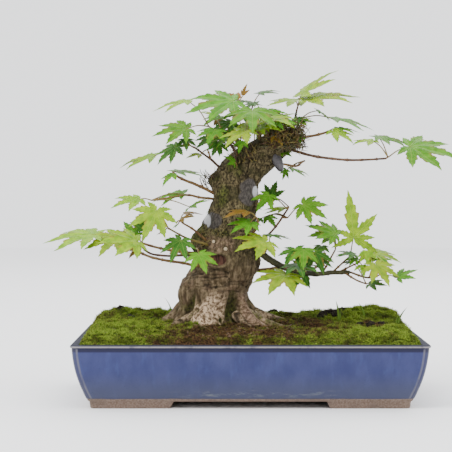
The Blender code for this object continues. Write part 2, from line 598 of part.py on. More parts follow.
def make_soil(finish):
    """Fills the pot, takes the shape of the moss above it and has a flat seat for the trunk."""
    sides = range(SIDES)
    rings = [[ground_place(k, 1, z) for k in sides] for z in [INSIDE_FLOOR + GAP] + INSIDE_LEVELS[3:0:-1]]
    for share in reversed(GROUND_ROWS):
        rings.append([ground_place(k, share, lift=-MOSS_THICK - GAP) for k in sides])
    rings.append([Vector((p.x, p.y, SEAT)) for p in rings[-1]])
    soil = solid("soil", *loft(rings), finish)
    pockets = []
    half = mesh_side / 2 + 2 * GAP
    top = INSIDE_FLOOR + GAP + MESH_THICK + 2 * GAP + 2 * CLIP_RADIUS + GAP
    for x in DRAINS:
        square = [(x - half, -half), (x + half, -half), (x + half, half), (x - half, half)]
        box = [[(a, b, z) for a, b in square] for z in (INSIDE_FLOOR - FLOOR, top)]
        pockets.append(solid("pocket", *loft(box), finish, helper=True))
    combine(soil, "DIFFERENCE", pockets)


def make_moss(name, first, last, finish):
    """One patch of moss, from one corner of the pot to the next."""
    sides = [k % SIDES for k in range(first, last + 1)]
    columns = []
    for k in sides:
        top = [ground_place(k, share) for share in GROUND_ROWS]
        low = [ground_place(k, share, lift=-MOSS_THICK) for share in reversed(GROUND_ROWS)]
        columns.append(top + low)
    for column, inwards in ((columns[0], columns[1]), (columns[-1], columns[-2])):
        aside = (inwards[0] - column[0]).normalized() * GAP
        aside.z = 0
        for point in column:
            point += aside
    solid(name, *loft(columns), finish)


soil_mix = material("soil_mix", (0.075, 0.050, 0.032), 0.95)
moss_green = material("moss_green", (0.17, 0.24, 0.035), 0.9)
make_soil(soil_mix)
corner_sides = [GROUND_ANGLES.index(c) for c in CORNERS]
next_sides = corner_sides[1:] + corner_sides[:1]
for patch, start, end in zip(("front", "right", "back", "left"), corner_sides, next_sides):
    make_moss("moss_" + patch, start, end if end > start else end + SIDES, moss_green)


# Limbs and leafy sprays.

def skin_of(obj):
    mesh = obj.data
    return BVHTree.FromPolygons([v.co for v in mesh.vertices], [tuple(p.vertices) for p in mesh.polygons])


def walked(path, step):
    """The path as many points, at most a step apart."""
    points = []
    for a, b in zip(path, path[1:]):
        count = max(int((b - a).length / step), 1)
        points += [a.lerp(b, k / count) for k in range(count)]
    return points + [path[-1]]


def butted(path, radius, skin):
    """The path from the place where a round stem of this radius comes clear of its parent's skin."""
    fine = walked(path, GAP / 2)
    start = 0
    left_parent = False
    for i in range(len(fine) - 1):
        near, normal, _, distance = skin.find_nearest(fine[i])
        outward = fine[i] - near
        across = (fine[i + 1] - fine[i]).normalized().cross(outward.normalized()).length
        inside = not left_parent and outward.dot(normal) <= 0
        if inside or distance < 1.2 * GAP + radius * across:
            start = i + 1
        left_parent = left_parent or not inside
    begin = fine[start]
    rest = [p for p in path[1:] if fine.index(p) > start and (p - begin).length > 2 * radius]
    return [begin] + (rest or [path[-1]])


def along(path, share):
    """The point at this share of the path's length."""
    lengths = [(b - a).length for a, b in zip(path, path[1:])]
    left = share * sum(lengths)
    for a, b, length in zip(path, path[1:], lengths):
        if left <= length:
            return a.lerp(b, left / length)
        left -= length
    return path[-1]


def placed(points):
    return [FOOT + Vector(p) * UNIT for p in points]


def leaf(junction, tip, face, lobes):
    """A thin lobed blade: fans from the stalk to each lobe's tip and shoulders and to the notches between.
    It hangs below its plane with the square of the distance, tilted so that the middle tip stays put."""
    axis = tip - junction
    length = axis.length
    axis.normalize()
    normal = (Vector(face) - axis * Vector(face).dot(axis)).normalized()
    aside = axis.cross(normal)
    both = [(-a, s) for a, s in reversed(lobes[1:])] + list(lobes)
    outline = [(180, 0.10)]
    for i, (angle, share) in enumerate(both):
        if share > 0.45:
            outline += [(angle - 9, 0.6 * share), (angle, share), (angle + 9, 0.6 * share)]
        else:
            outline.append((angle, share))
        if i + 1 < len(both):
            outline.append(((angle + both[i + 1][0]) / 2, 0.18 * (share + both[i + 1][1])))
    rim = []
    for angle, share in outline:
        turn = math.radians(angle)
        flat = axis * math.cos(turn) + aside * math.sin(turn)
        hang = LEAF_DROOP * (share * math.cos(turn) - share * share)
        rim.append(junction + (flat * share + normal * hang) * length)
    count = len(rim)
    points = rim + [junction + normal * LEAF_THICK / 2, junction - normal * LEAF_THICK / 2]
    faces = []
    for i in range(count):
        j = (i + 1) % count
        faces += [(count, j, i), (count + 1, i, j)]
    return points, faces


def make_limb(name, base_radius, end_radius, route):
    base_radius, end_radius = base_radius * MM, end_radius * MM
    path = butted(placed(route), base_radius, trunk_skin)
    radii = evenly(base_radius, end_radius, len(path))
    limb = solid(name, *tube(path, radii, 6), bark)
    return path, skin_of(limb)


def make_spray(name, parent, share, radius, route, leaves):
    radius = radius * MM
    if parent == "trunk":
        path, skin = placed(route), trunk_skin
    else:
        path, skin = [along(limbs[parent][0], share)] + placed(route), limbs[parent][1]
    path = butted(path, radius, skin)
    end_radius = 0.7 * radius
    radii = evenly(radius, end_radius, len(path))
    spray = solid(name, *tube(path, radii, 5), shoot_and_leaf[leaves[0][4]])
    node = path[-1] - (path[-1] - path[-2]).normalized() * radius
    blades = []
    for junction, tip, face, lobes, colour in leaves:
        junction, tip = placed([junction, tip])
        arch = node.lerp(junction, 0.5) + Vector((0, 0, 0.06 * (junction - node).length))
        into = junction + (tip - junction).normalized() * 2 * STALK_RADIUS
        stalk = tube([node, arch, into], [STALK_RADIUS] * 3, 4)
        blades.append(solid(name + "_stalk", *stalk, shoot_and_leaf[colour], helper=True))
        blade = leaf(junction, tip, face, lobes)
        blades.append(solid(name + "_blade", *blade, shoot_and_leaf[colour], helper=True))
    combine(spray, "UNION", blades)


shoot_and_leaf = {
    GREEN: material("leaf_green", GREEN, 0.5), LIME: material("leaf_lime", LIME, 0.5),
    DARK: material("leaf_dark", DARK, 0.5), RED: material("leaf_red", RED, 0.5),
}
trunk_skin = skin_of(trunk)
limbs = {name: make_limb(name, *BRANCHES[name]) for name in BRANCHES}
for spray_name, details in SPRAYS.items():
    make_spray("spray_" + spray_name, *details)
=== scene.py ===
"""A Japanese maple bonsai in a blue glazed pot: the finished surfaces, put together from the table up."""

import json
import math

import bpy
import numpy as np
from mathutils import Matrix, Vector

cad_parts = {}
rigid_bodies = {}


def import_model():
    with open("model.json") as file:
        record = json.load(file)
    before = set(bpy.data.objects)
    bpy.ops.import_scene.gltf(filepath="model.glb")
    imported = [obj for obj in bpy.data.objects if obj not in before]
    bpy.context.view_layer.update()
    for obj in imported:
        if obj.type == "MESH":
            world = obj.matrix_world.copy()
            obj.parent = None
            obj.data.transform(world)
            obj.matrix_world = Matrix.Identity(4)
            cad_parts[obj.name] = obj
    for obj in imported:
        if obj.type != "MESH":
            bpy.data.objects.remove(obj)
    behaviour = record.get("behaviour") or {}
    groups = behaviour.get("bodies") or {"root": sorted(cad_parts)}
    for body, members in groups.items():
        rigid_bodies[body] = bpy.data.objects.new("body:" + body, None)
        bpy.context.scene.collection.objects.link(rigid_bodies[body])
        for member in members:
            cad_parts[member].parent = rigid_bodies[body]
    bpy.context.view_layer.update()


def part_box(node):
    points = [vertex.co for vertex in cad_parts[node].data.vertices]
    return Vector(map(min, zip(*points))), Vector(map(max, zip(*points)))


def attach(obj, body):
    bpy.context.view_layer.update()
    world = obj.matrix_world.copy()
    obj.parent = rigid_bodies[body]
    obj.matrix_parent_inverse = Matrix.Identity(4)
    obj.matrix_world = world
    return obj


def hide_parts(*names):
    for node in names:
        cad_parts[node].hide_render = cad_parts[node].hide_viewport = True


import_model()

# The table and the light.
# A plain pale sheet lies under the pot. A broad soft light hangs over it to the left, weaker ones fill
# from the right and from behind, and pale walls all round light the shaded sides.

bpy.ops.mesh.primitive_plane_add(size=6.0)
table = bpy.context.object
table.name = "table"
table_paint = bpy.data.materials.new("table_paint")
table_paint.use_nodes = True
table_paint.node_tree.nodes["Principled BSDF"].inputs["Base Color"].default_value = (0.93, 0.93, 0.93, 1)
table_paint.node_tree.nodes["Principled BSDF"].inputs["Roughness"].default_value = 0.8
table.data.materials.append(table_paint)


def turned_towards(place, aim):
    """The turn that makes a camera or a lamp at this place look at its aim."""
    dx, dy, dz = (b - a for a, b in zip(place, aim))
    return (math.pi / 2 + math.atan2(dz, math.hypot(dx, dy)), 0, math.atan2(-dx, dy))


tree_middle = (0, 0, 0.12)


def add_lamp(name, place, size, watts):
    """A square soft light at this place, turned to the middle of the tree."""
    lamp = bpy.data.lights.new(name, "AREA")
    lamp.size = size
    lamp.energy = watts
    holder = bpy.data.objects.new(name, lamp)
    holder.location = place
    holder.rotation_euler = turned_towards(place, tree_middle)
    bpy.context.scene.collection.objects.link(holder)


add_lamp("key_light", (-0.9, -1.0, 1.5), 1.0, 30)
add_lamp("fill_light", (1.3, -0.9, 0.9), 1.4, 8)
add_lamp("rear_light", (0.3, 1.3, 1.4), 1.2, 14)
walls = bpy.data.worlds.new("walls")
walls.use_nodes = True
walls.node_tree.nodes["Background"].inputs["Color"].default_value = (0.97, 0.98, 1.0, 1)
walls.node_tree.nodes["Background"].inputs["Strength"].default_value = 2.0
bpy.context.scene.world = walls

lens = bpy.data.cameras.new("camera")
lens.lens = 137.3
camera_place, camera_aim = (-0.0172, -1.3, 0.1592), (-0.0172, 0, 0.1275)
camera = bpy.data.objects.new("camera", lens)
camera.location = camera_place
camera.rotation_euler = turned_towards(camera.location, camera_aim)
bpy.context.scene.collection.objects.link(camera)
bpy.context.scene.camera = camera

# The pot.
# A shallow tray of brown stoneware on four corner feet, slip-cast and finished by hand. The blue glaze
# pools navy under the lip, darkened further by painted shade, runs thin and pale over every edge, partly
# as a painted highlight, and stops short of the feet.


class Signal:
    """One socket of a shader, so that its maths is written as an expression."""

    def __init__(self, finish, socket):
        self.finish, self.socket = finish, socket

    def maths(self, operation, first, second=0.0):
        """One Math node on two signals or numbers."""
        return self.finish.node("ShaderNodeMath", {"operation": operation}, {0: first, 1: second})

    def __add__(self, other):
        return self.maths("ADD", self, other)

    def __sub__(self, other):
        return self.maths("SUBTRACT", self, other)

    def __rsub__(self, other):
        return self.maths("SUBTRACT", other, self)

    def __mul__(self, other):
        return self.maths("MULTIPLY", self, other)

    def __truediv__(self, other):
        return self.maths("DIVIDE", self, other)

    def __pow__(self, other):
        return self.maths("POWER", self, other)

    def __abs__(self):
        return self.maths("ABSOLUTE", self)

    def __mod__(self, other):
        return self.maths("FLOORED_MODULO", self, other)

    __radd__ = __add__
    __rmul__ = __mul__

    def larger(self, other):
        """The larger of the two at each point."""
        return self.maths("MAXIMUM", self, other)

    def step(self, low, high):
        """0 below low, 1 above high and a smooth step between. With low over high it falls instead."""
        limits = {"Value": self, "From Min": min(low, high), "From Max": max(low, high)}
        limits.update({"To Min": float(low > high), "To Max": float(low < high)})
        return self.finish.node("ShaderNodeMapRange", {"interpolation_type": "SMOOTHSTEP"}, limits)


class Finish:
    """A material with one Principled shader. Constants go on its own sockets; drive() links what varies."""

    def __init__(self, name, **constants):
        self.material = bpy.data.materials.new(name)
        self.material.use_nodes = True
        self.tree = self.material.node_tree
        self.shader = self.tree.nodes["Principled BSDF"]
        for socket, value in constants.items():
            self.shader.inputs[socket.replace("_", " ")].default_value = value

    def node(self, kind, settings=None, inputs=None, output=0):
        """Adds a node of any kind: its settings first, then values or signals on its sockets."""
        made = self.tree.nodes.new(kind)
        for name, value in (settings or {}).items():
            setattr(made, name, value)
        for name, value in (inputs or {}).items():
            socket = made.inputs[name]
            if isinstance(value, Signal):
                self.tree.links.new(value.socket, socket)
            elif socket.type == "RGBA":
                socket.default_value = (*value, 1)
            else:
                socket.default_value = value
        return Signal(self, made.outputs[output])

    def place(self):
        """The point on the piece, in metres from the origin."""
        return self.node("ShaderNodeTexCoord", output="Object")

    def parts(self, vector):
        """A vector's x, y and z as three signals."""
        split = self.node("ShaderNodeSeparateXYZ", None, {0: vector}).socket.node
        return [Signal(self, split.outputs[i]) for i in range(3)]

    def kept(self, name, output="Fac"):
        """A value stored on the piece's points under this name."""
        return self.node("ShaderNodeAttribute", {"attribute_name": name}, output=output)

    def noise(self, size, detail=3.0, squash=(1, 1, 1), rough=0.55):
        """Soft cloudy noise from 0 to 1 with spots about this size in metres, squashed along each axis."""
        scale = tuple(s / size for s in squash)
        there = self.node("ShaderNodeMapping", None, {"Vector": self.place(), "Scale": scale})
        inputs = {"Vector": there, "Scale": 1.0, "Detail": detail, "Roughness": rough}
        return self.node("ShaderNodeTexNoise", None, inputs)

    def mix(self, factor, first, second):
        """The first colour where the factor is 0 and the second where it is 1."""
        return self.node("ShaderNodeMix", {"data_type": "RGBA"}, {0: factor, 6: first, 7: second}, 2)

    def multiplied(self, first, second):
        """One colour times another."""
        blend = {"data_type": "RGBA", "blend_type": "MULTIPLY"}
        return self.node("ShaderNodeMix", blend, {0: 1.0, 6: first, 7: second}, 2)

    def drive(self, socket, signal):
        """Links a signal to one of the shader's own sockets."""
        self.tree.links.new(signal.socket, self.shader.inputs[socket])

    def bump(self, height, distance):
        """Relief from a height signal, this many metres deep where it goes from 0 to 1."""
        inputs = {"Height": height, "Distance": distance, "Strength": 1.0}
        self.drive("Normal", self.node("ShaderNodeBump", None, inputs))


def cloud(points, size, seed, octaves=3):
    """Smooth noise from 0 to 1 at these points: random values on a cubic lattice, blended by smooth steps,
    each octave half the size and half the strength of the one before."""
    lattice = np.random.default_rng(seed).random((32, 32, 32))
    total = np.zeros(points.shape[:-1])
    for octave in range(octaves):
        scaled = points * (2**octave / size) + 7.3 * octave
        cell = np.floor(scaled).astype(int)
        part = scaled - cell
        part = part * part * (3 - 2 * part)
        for near in np.ndindex(2, 2, 2):
            share = np.where(near, part, 1 - part).prod(axis=-1)
            i, j, k = np.moveaxis((cell + near) % 32, -1, 0)
            total += share * lattice[i, j, k] / 2**octave
    return total / (2 - 2.0 ** (1 - octaves))


def smooth_step(low, high, x):
    """0 below low, 1 above high, and a smooth step between."""
    t = np.clip((x - low) / (high - low), 0, 1)
    return t * t * (3 - 2 * t)


def skin(grid):
    """Closes a grid of points whose rows run round: quads between the rows, and a fan from the first and
    from the last row to its middle. Gives points and lists of faces. Rows run anticlockwise seen from the
    last row's end."""
    rows, count = grid.shape[:2]
    i = np.arange(rows - 1)[:, None] * count
    j = np.arange(count)[None]
    after = (j + 1) % count
    quads = np.stack([i + j, i + after, i + count + after, i + count + j], -1).reshape(-1, 4)
    ring = np.arange(count)
    turned = (ring + 1) % count
    low, high, last = rows * count, rows * count + 1, (rows - 1) * count
    fans = [np.stack([np.full(count, low), turned, ring], -1)]
    fans.append(np.stack([np.full(count, high), last + ring, last + turned], -1))
    points = np.vstack([grid.reshape(-1, 3), grid[0].mean(0), grid[-1].mean(0)])
    return points, [quads] + fans


def joined(shapes):
    """Several shapes of points and faces as one."""
    points, faces, start = [], [], 0
    for some, sides in shapes:
        points.append(some)
        faces += [side + start for side in sides]
        start += len(some)
    return np.vstack(points), faces


def make_piece(name, points, faces, finishes, kept=None, finish_of=None):
    """An object with this mesh, smooth-shaded. Kept values go on its points, finish_of on its faces."""
    mesh = bpy.data.meshes.new(name)
    mesh.vertices.add(len(points))
    mesh.vertices.foreach_set("co", np.ascontiguousarray(points, np.float32).ravel())
    corners = np.concatenate([side.ravel() for side in faces]).astype(np.int32)
    totals = np.concatenate([np.full(len(side), side.shape[1]) for side in faces])
    mesh.loops.add(len(corners))
    mesh.loops.foreach_set("vertex_index", corners)
    mesh.polygons.add(len(totals))
    starts = np.concatenate([[0], np.cumsum(totals)[:-1]]).astype(np.int32)
    mesh.polygons.foreach_set("loop_start", starts)
    mesh.update(calc_edges=True)
    mesh.polygons.foreach_set("use_smooth", np.ones(len(totals), bool))
    for label, values in (kept or {}).items():
        kind, field = ("FLOAT", "value") if values.ndim == 1 else ("FLOAT_VECTOR", "vector")
        stored = mesh.attributes.new(label, kind, "POINT")
        stored.data.foreach_set(field, np.ascontiguousarray(values, np.float32).ravel())
    for finish in finishes:
        mesh.materials.append(finish.material)
    if finish_of is not None:
        mesh.polygons.foreach_set("material_index", finish_of.astype(np.int32))
    made = bpy.data.objects.new(name, mesh)
    bpy.context.scene.collection.objects.link(made)
    return made


pot_low, pot_high = (np.array(corner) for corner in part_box("pot"))
pot_half = (pot_high - pot_low)[:2] / 2
pot_height = pot_high[2]
wall_thick, floor_thick, wall_draw = 0.006, 0.007, 0.0107
lip_height, lip_proud, foot_height, pot_corner = 0.0020, 0.001, 0.005, 0.004
glaze_foot, glaze_thick, lip_round = 0.0072, 0.0003, 0.0010
lip_foot = pot_height - lip_height
drain_radius, drain_aside = 0.008, 0.060


def wall_inset(z):
    """How far the wall has drawn in at this height: as the square of the depth below the lip's top."""
    return wall_draw * ((pot_height - z) / (pot_height - foot_height)) ** 2


def rounded_rectangle(half_x, half_y, corner, bend=12, run=64):
    """Points round a rounded rectangle, anticlockwise: an arc on each corner, and evenly spaced points
    along each side."""
    arcs = []
    for quarter, (sx, sy) in enumerate(((1, 1), (-1, 1), (-1, -1), (1, -1))):
        angle = (quarter + np.linspace(0, 1, bend)) * np.pi / 2
        x = sx * (half_x - corner) + corner * np.cos(angle)
        arcs.append(np.stack([x, sy * (half_y - corner) + corner * np.sin(angle)], -1))
    share = np.linspace(0, 1, run)[1:-1, None]
    outline = []
    for arc, following in zip(arcs, arcs[1:] + arcs[:1]):
        outline += [arc, arc[-1] + share * (following[0] - arc[-1])]
    return np.vstack(outline)


def pot_profile():
    """The wall's section as (inset from the lip's outline, height, corner radius): out from under the
    floor, up the drawn-in wall, over the lip by quarter rounds and down the inside to the floor."""
    bare = lip_proud + glaze_thick
    section = [(0.03, foot_height, pot_corner)]
    for back, up in ((0.0012, 0.0), (0.0003, 0.0002), (0.0, 0.0008)):
        section.append((bare + back + wall_inset(foot_height + up), foot_height + up, pot_corner))
    section.append((bare + wall_inset(glaze_foot - 0.0003), glaze_foot - 0.0003, pot_corner))
    for z in np.linspace(glaze_foot, lip_foot - 0.0004, 34):
        section.append((lip_proud + wall_inset(z), z, pot_corner))
    section += [(lip_proud - 0.0002, lip_foot, pot_corner), (0.0003, lip_foot + 0.0001, pot_corner)]
    section += [(0.0, lip_foot + 0.0005, pot_corner), (0.0, pot_height - lip_round, pot_corner)]
    turn = np.linspace(0, np.pi / 2, 6)[1:]
    for a in turn:
        back, down = lip_round * (1 - math.cos(a)), lip_round * (1 - math.sin(a))
        section.append((back, pot_height - down, pot_corner))
    for a in turn:
        back, down = lip_round * (1 - math.sin(a)), lip_round * (1 - math.cos(a))
        section.append((wall_thick - back, pot_height - down, pot_corner / 2))
    for z in np.linspace(pot_height - 0.002, foot_height + floor_thick, 12):
        section.append((wall_thick + wall_inset(z), z, 0.003))
    return section


def pot_skin():
    """The section carried round rounded rectangles. Slow waves of up to half a millimetre press into the
    wall, as smooth noise, where the clay was sponged by hand."""
    rings = []
    for inset, z, corner in pot_profile():
        flat = rounded_rectangle(pot_half[0] - inset, pot_half[1] - inset, corner)
        rings.append(np.column_stack([flat, np.full(len(flat), z)]))
    grid = np.array(rings)
    z = grid[..., 2]
    on_wall = smooth_step(glaze_foot, 0.014, z) * smooth_step(pot_height, pot_height - 0.012, z)
    pressed = 1 - 0.004 * on_wall * cloud(grid, 0.035, 11, 2)
    grid[..., :2] *= pressed[..., None]
    return skin(grid)


def foot_skin(sx, sy):
    """One corner foot: an L seen from above, its ends leaning in to the table and its edges eased."""
    reach = pot_half - lip_proud - wall_inset(foot_height) - 0.001
    long_x, long_y, thick, lean = 0.061, 0.045, 0.012, 0.0035
    rings = []
    for z, ease, up in ((0.0, 0.0012, 0.0), (0.0002, 0.0005, 0.02), (0.0008, 0.0, 0.1), (0.0068, 0.0, 1.0)):
        x1, y1 = reach - 0.001 * (1 - up) - ease
        x0, y0 = reach - (long_x, long_y) + lean * (1 - up) + ease
        x2, y2 = reach - thick + ease
        ends = np.array([(x0, y1), (x0, y2), (x2, y2), (x2, y0), (x1, y0), (x1, y1)])
        share = np.array([0.02, 0.06, 0.3, 0.5, 0.7, 0.94, 0.98])[:, None]
        outline = np.vstack([a + share * (b - a) for a, b in zip(ends, np.roll(ends, -1, axis=0))])
        rings.append(np.column_stack([outline * (sx, sy), np.full(len(outline), z)]))
    grid = np.array(rings)
    return skin(grid[:, ::-1] if sx * sy < 0 else grid)


def drill_skin(x):
    """A round bar through the floor, which cuts a drain hole."""
    angle = np.linspace(0, 2 * np.pi, 48, endpoint=False)
    ring = np.stack([x + drain_radius * np.cos(angle), drain_radius * np.sin(angle), 0 * angle], -1)
    return skin(np.array([ring + (0, 0, 0.001), ring + (0, 0, 0.02)]))


def reshaped(piece, operation, tools):
    """Joins closed shapes to a piece, or cuts them from it."""
    for shape in tools:
        tool = make_piece("tool", *shape, [])
        step = piece.modifiers.new("step", "BOOLEAN")
        step.operation, step.object = operation, tool
        done = bpy.data.meshes.new_from_object(piece.evaluated_get(bpy.context.evaluated_depsgraph_get()))
        piece.modifiers.clear()
        piece.data = done
        bpy.data.objects.remove(tool)


def glaze_finish():
    """Blue glaze, mottled and streaked by its run, on brown clay that shows below the glaze's edge. Painted
    shade darkens it under the lip, round the corners and on the lip's top and inside; painted highlights
    lighten its edges.
    """
    made = Finish("glaze", Specular_IOR_Level=0.22, Coat_Roughness=0.08)
    x, y, z = made.parts(made.place())
    cloudy = made.noise(0.018, 4.0, (1, 1, 0.6))
    streaks = made.noise(0.005, 3.0, (1, 1, 0.22))
    fine = made.noise(0.0011, 2.0)
    blue = made.mix(cloudy.step(0.30, 0.72), (0.015, 0.020, 0.086), (0.028, 0.035, 0.114))
    blue = made.mix(streaks.step(0.50, 0.80) * 0.45, blue, (0.036, 0.054, 0.165))
    blue = made.mix(z.step(0.030, 0.008) * 0.75, blue, (0.044, 0.049, 0.080))
    blue = made.mix(fine.step(0.60, 0.75) * 0.35, blue, (0.008, 0.012, 0.060))
    lime_band = z.step(0.0150, 0.0110) * z.step(glaze_foot, 0.0095)
    deposit = lime_band * made.noise(0.006, 6.0, (0.4, 0.4, 2.0), 0.75).step(0.48, 0.74)
    deposit = deposit * x.step(-0.070, -0.020) * x.step(0.085, 0.040)
    blue = made.mix(deposit * 0.5, blue, (0.170, 0.190, 0.175))
    # Painted shade: the band under the lip, where the glaze pools navy, is darkened nearly to black for the
    # shade under the lip's overhang.
    pooled_and_shaded = z.step(lip_foot - 0.0036, lip_foot - 0.0022)
    blue = made.mix(pooled_and_shaded * (0.88 + 0.12 * streaks), blue, (0.001, 0.001, 0.022))
    to_side, to_front = pot_half[0] - abs(x), pot_half[1] - abs(y)
    bend = to_side.larger(to_front) - (wall_inset(z) + lip_proud)
    # Painted shade: the glaze is darkened where the wall turns round each corner, for the side wall in shade.
    turned = bend.step(0.0040, 0.0034)
    blue = made.mix(turned * 0.5, blue, (0.030, 0.030, 0.060))
    # The pale line down each corner is partly glaze worn thin on the edge and partly a painted highlight.
    thin_glaze_and_highlight = bend.step(0.0030, 0.0036) * bend.step(0.0052, 0.0042) * z.step(lip_foot, lip_foot - 0.001)
    thin_glaze_and_highlight = thin_glaze_and_highlight * made.noise(0.004, 3.0, (1, 1, 0.4)).step(0.20, 0.55)
    blue = made.mix(thin_glaze_and_highlight * 0.65, blue, (0.115, 0.112, 0.135))
    # Painted shade: the top of the lip is painted nearly black.
    shaded_brim = z.step(pot_height - 0.0009, pot_height - 0.0003)
    # The pale line along the front of the lip is partly glaze breaking thin over its edge and partly a
    # painted highlight.
    lip_edge_and_highlight = z.step(lip_foot - 0.0001, lip_foot + 0.0004) * (1 - shaded_brim)
    broken = made.noise(0.006, 3.0).step(0.30, 0.50)
    # Painted shade: the inside face of the lip, above the moss, is painted nearly black.
    inside = (to_side + to_front - to_side.larger(to_front)).step(0.0012, 0.0020)
    inside = inside * z.step(lip_foot - 0.0015, lip_foot)
    blue = made.mix(lip_edge_and_highlight * (0.45 + 0.45 * broken), blue, (0.210, 0.198, 0.205))
    blue = made.mix(shaded_brim, blue, (0.012, 0.013, 0.030))
    blue = made.mix(inside, blue, (0.012, 0.013, 0.026))
    ragged = z + (cloudy - 0.5) * 0.0012
    glazed = ragged.step(glaze_foot - 0.0002, glaze_foot + 0.0001)
    grit = made.noise(0.0012, 3.0)
    clay = made.mix(grit.step(0.3, 0.7), (0.120, 0.082, 0.062), (0.220, 0.158, 0.124))
    clay = made.mix(made.noise(0.014).step(0.45, 0.7) * 0.6, clay, (0.100, 0.076, 0.062))
    made.drive("Base Color", made.mix(glazed, clay, blue))
    dusty = inside.larger(z.step(pot_height - 0.0006, pot_height - 0.0002))
    made.drive("Roughness", (0.85 - glazed * (0.62 - 0.25 * deposit)).larger(dusty * 0.8))
    made.drive("Coat Weight", glazed * (1 - dusty) * 0.10)
    made.bump(grit * (1 - glazed) + glazed * (1.2 + 0.35 * cloudy), 0.0003)
    return made


glaze = glaze_finish()
pot = make_piece("glazed_pot", *pot_skin(), [glaze])
reshaped(pot, "UNION", [foot_skin(sx, sy) for sx in (1, -1) for sy in (1, -1)])
reshaped(pot, "DIFFERENCE", [drill_skin(-drain_aside), drill_skin(drain_aside)])
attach(pot, "root")
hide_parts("pot")

# The drain meshes and their clips.
# Black-green plastic mesh lies over each drain hole. A bent aluminium wire holds it down, with its legs
# turned out under the floor.

mesh_plastic = Finish("mesh_plastic", Roughness=0.5)
dusty = mesh_plastic.noise(0.004).step(0.45, 0.75)
mesh_plastic.drive("Base Color", mesh_plastic.mix(dusty, (0.022, 0.040, 0.030), (0.075, 0.070, 0.050)))
mesh_plastic.drive("Roughness", 0.45 + 0.35 * dusty)
clip_wire = Finish("clip_wire", Metallic=1.0)
dulled = clip_wire.noise(0.0018).step(0.3, 0.7)
clip_wire.drive("Base Color", clip_wire.mix(dulled, (0.52, 0.53, 0.55), (0.74, 0.75, 0.77)))
clip_wire.drive("Roughness", 0.32 + 0.2 * dulled)


def refinish(node, finish):
    """Gives a piece of the frame, whose shape is right as it is, this finish."""
    piece = bpy.data.objects[node]
    piece.data.materials.clear()
    piece.data.materials.append(finish.material)


for side in ("left", "right"):
    refinish("drain_mesh_" + side, mesh_plastic)
    refinish("mesh_clip_" + side, clip_wire)

# The soil.
# Dark granular bonsai soil fills the pot to its lip, and only its seam with the moss could ever show.

soil_mix = Finish("soil_mix", Roughness=0.95)
grains = soil_mix.noise(0.0022, 3.0)
soil_colour = soil_mix.mix(grains.step(0.35, 0.7), (0.030, 0.020, 0.013), (0.140, 0.090, 0.055))
soil_mix.drive("Base Color", soil_colour)
soil_mix.bump(grains, 0.001)
refinish("soil", soil_mix)

# The trunk.
# One old leaning trunk that flares into surface roots. Its bark is wrinkled where it bends, scarred where
# limbs came off, sealed in two places with grey wound paste, and mossy in its hollows.

foot = np.array([-0.022, 0.004, 0.054])
unit = 0.001  # the tree is laid out from the foot of its trunk in steps of this
seat = -5
# The trunk's centre line, with its radius at each point.
trunk_line = [
    ((-3, 0, 2), 23), ((-4, 0, 8), 23), ((-4.5, 0, 15), 23.5), ((-4.5, 0, 22), 24.5),
    ((-3, 0, 27.5), 24.5), ((-0.5, 0, 32.5), 23), ((3, -1, 38), 22), ((5.5, -2, 44), 22.4),
    ((6, -3, 51), 22.8), ((5, -4, 60), 22.3), ((6.5, -4, 68), 20.5), ((8.5, -5, 76), 18.8),
    ((10, -5, 84), 17.5),
    ((12, -4, 93), 17), ((12, -3, 102), 17), ((14, -3, 110), 17), ((20, -4, 118), 15), ((32, -7, 127), 13),
    ((43, -10, 134), 10.5), ((52, -12, 140), 8), ((57, -13, 144), 5.5),
]
# Surface roots: direction in degrees round the trunk, reach from its centre, and spread in degrees.
roots = [
    (-112, 38, 21), (-58, 31, 10), (-33, 55, 12), (6, 62, 11), (48, 40, 14), (92, 38, 16),
    (133, 41, 14), (168, 58, 12), (-158, 45, 12),
]
root_rise, core, fan_top = 34, 24, 30
# Burls and knobs: place, how far it stands out and how wide it is.
burls = [
    ((-15, -9, 63), 6, 9), ((-6, -6, 108), 5, 6), ((29, -5, 46), 3, 8), ((-26, -6, 23), 3.5, 9),
    ((8, 16, 72), 4, 12), ((20, 14, 30), 4, 12),
]
# Wound paste: the middle of each patch, seen from the front, with its half-width and half-height, and
# the same for the painted highlight, a pale glint, on each.
paste_patches = [((21.5, 99), (7.4, 10.5)), ((-5.0, 77.5), (6.6, 6.0))]
paste_highlight_patches = [((26.4, 99.5), (2.4, 4.6)), ((-8.6, 77.5), (2.6, 5.0))]
scar_middle, scar_half = (-1.0, 48.5), (7.0, 4.4)


def flowing(points, count):
    """The points joined by a smooth curve and read at count evenly spaced places: between two points a
    cubic that passes each of them along the line through its neighbours."""
    points = np.asarray(points, float)
    steps = np.linalg.norm(np.diff(points[:, :3], axis=0), axis=1)
    at = np.concatenate([[0], np.cumsum(steps)])
    slope = np.gradient(points, at, axis=0)
    where = np.linspace(0, at[-1], count)
    i = np.clip(np.searchsorted(at, where, side="right") - 1, 0, len(steps) - 1)
    span = steps[i][:, None]
    t = (where - at[i])[:, None] / span
    start = (2 * t**3 - 3 * t**2 + 1) * points[i] + (t**3 - 2 * t**2 + t) * span * slope[i]
    return start + (3 * t**2 - 2 * t**3) * points[i + 1] + (t**3 - t**2) * span * slope[i + 1]


def unit_rows(vectors):
    """Each vector scaled to length 1."""
    return vectors / np.linalg.norm(vectors, axis=-1, keepdims=True)


def root_reach(angle, height):
    """How far the roots stand out past the core: for each a bell round its direction, all of them falling
    off upwards with the power 2.2 of the height left."""
    fall = np.clip(1 - height / root_rise, 0, 1) ** 2.2
    swell = np.zeros(np.broadcast(angle, height).shape)
    for at, reach, wide in roots:
        aside = ((angle - at + 180) % 360 - 180) / wide
        swell = np.maximum(swell, (reach - core) * np.exp(-aside * aside))
    return fall * swell


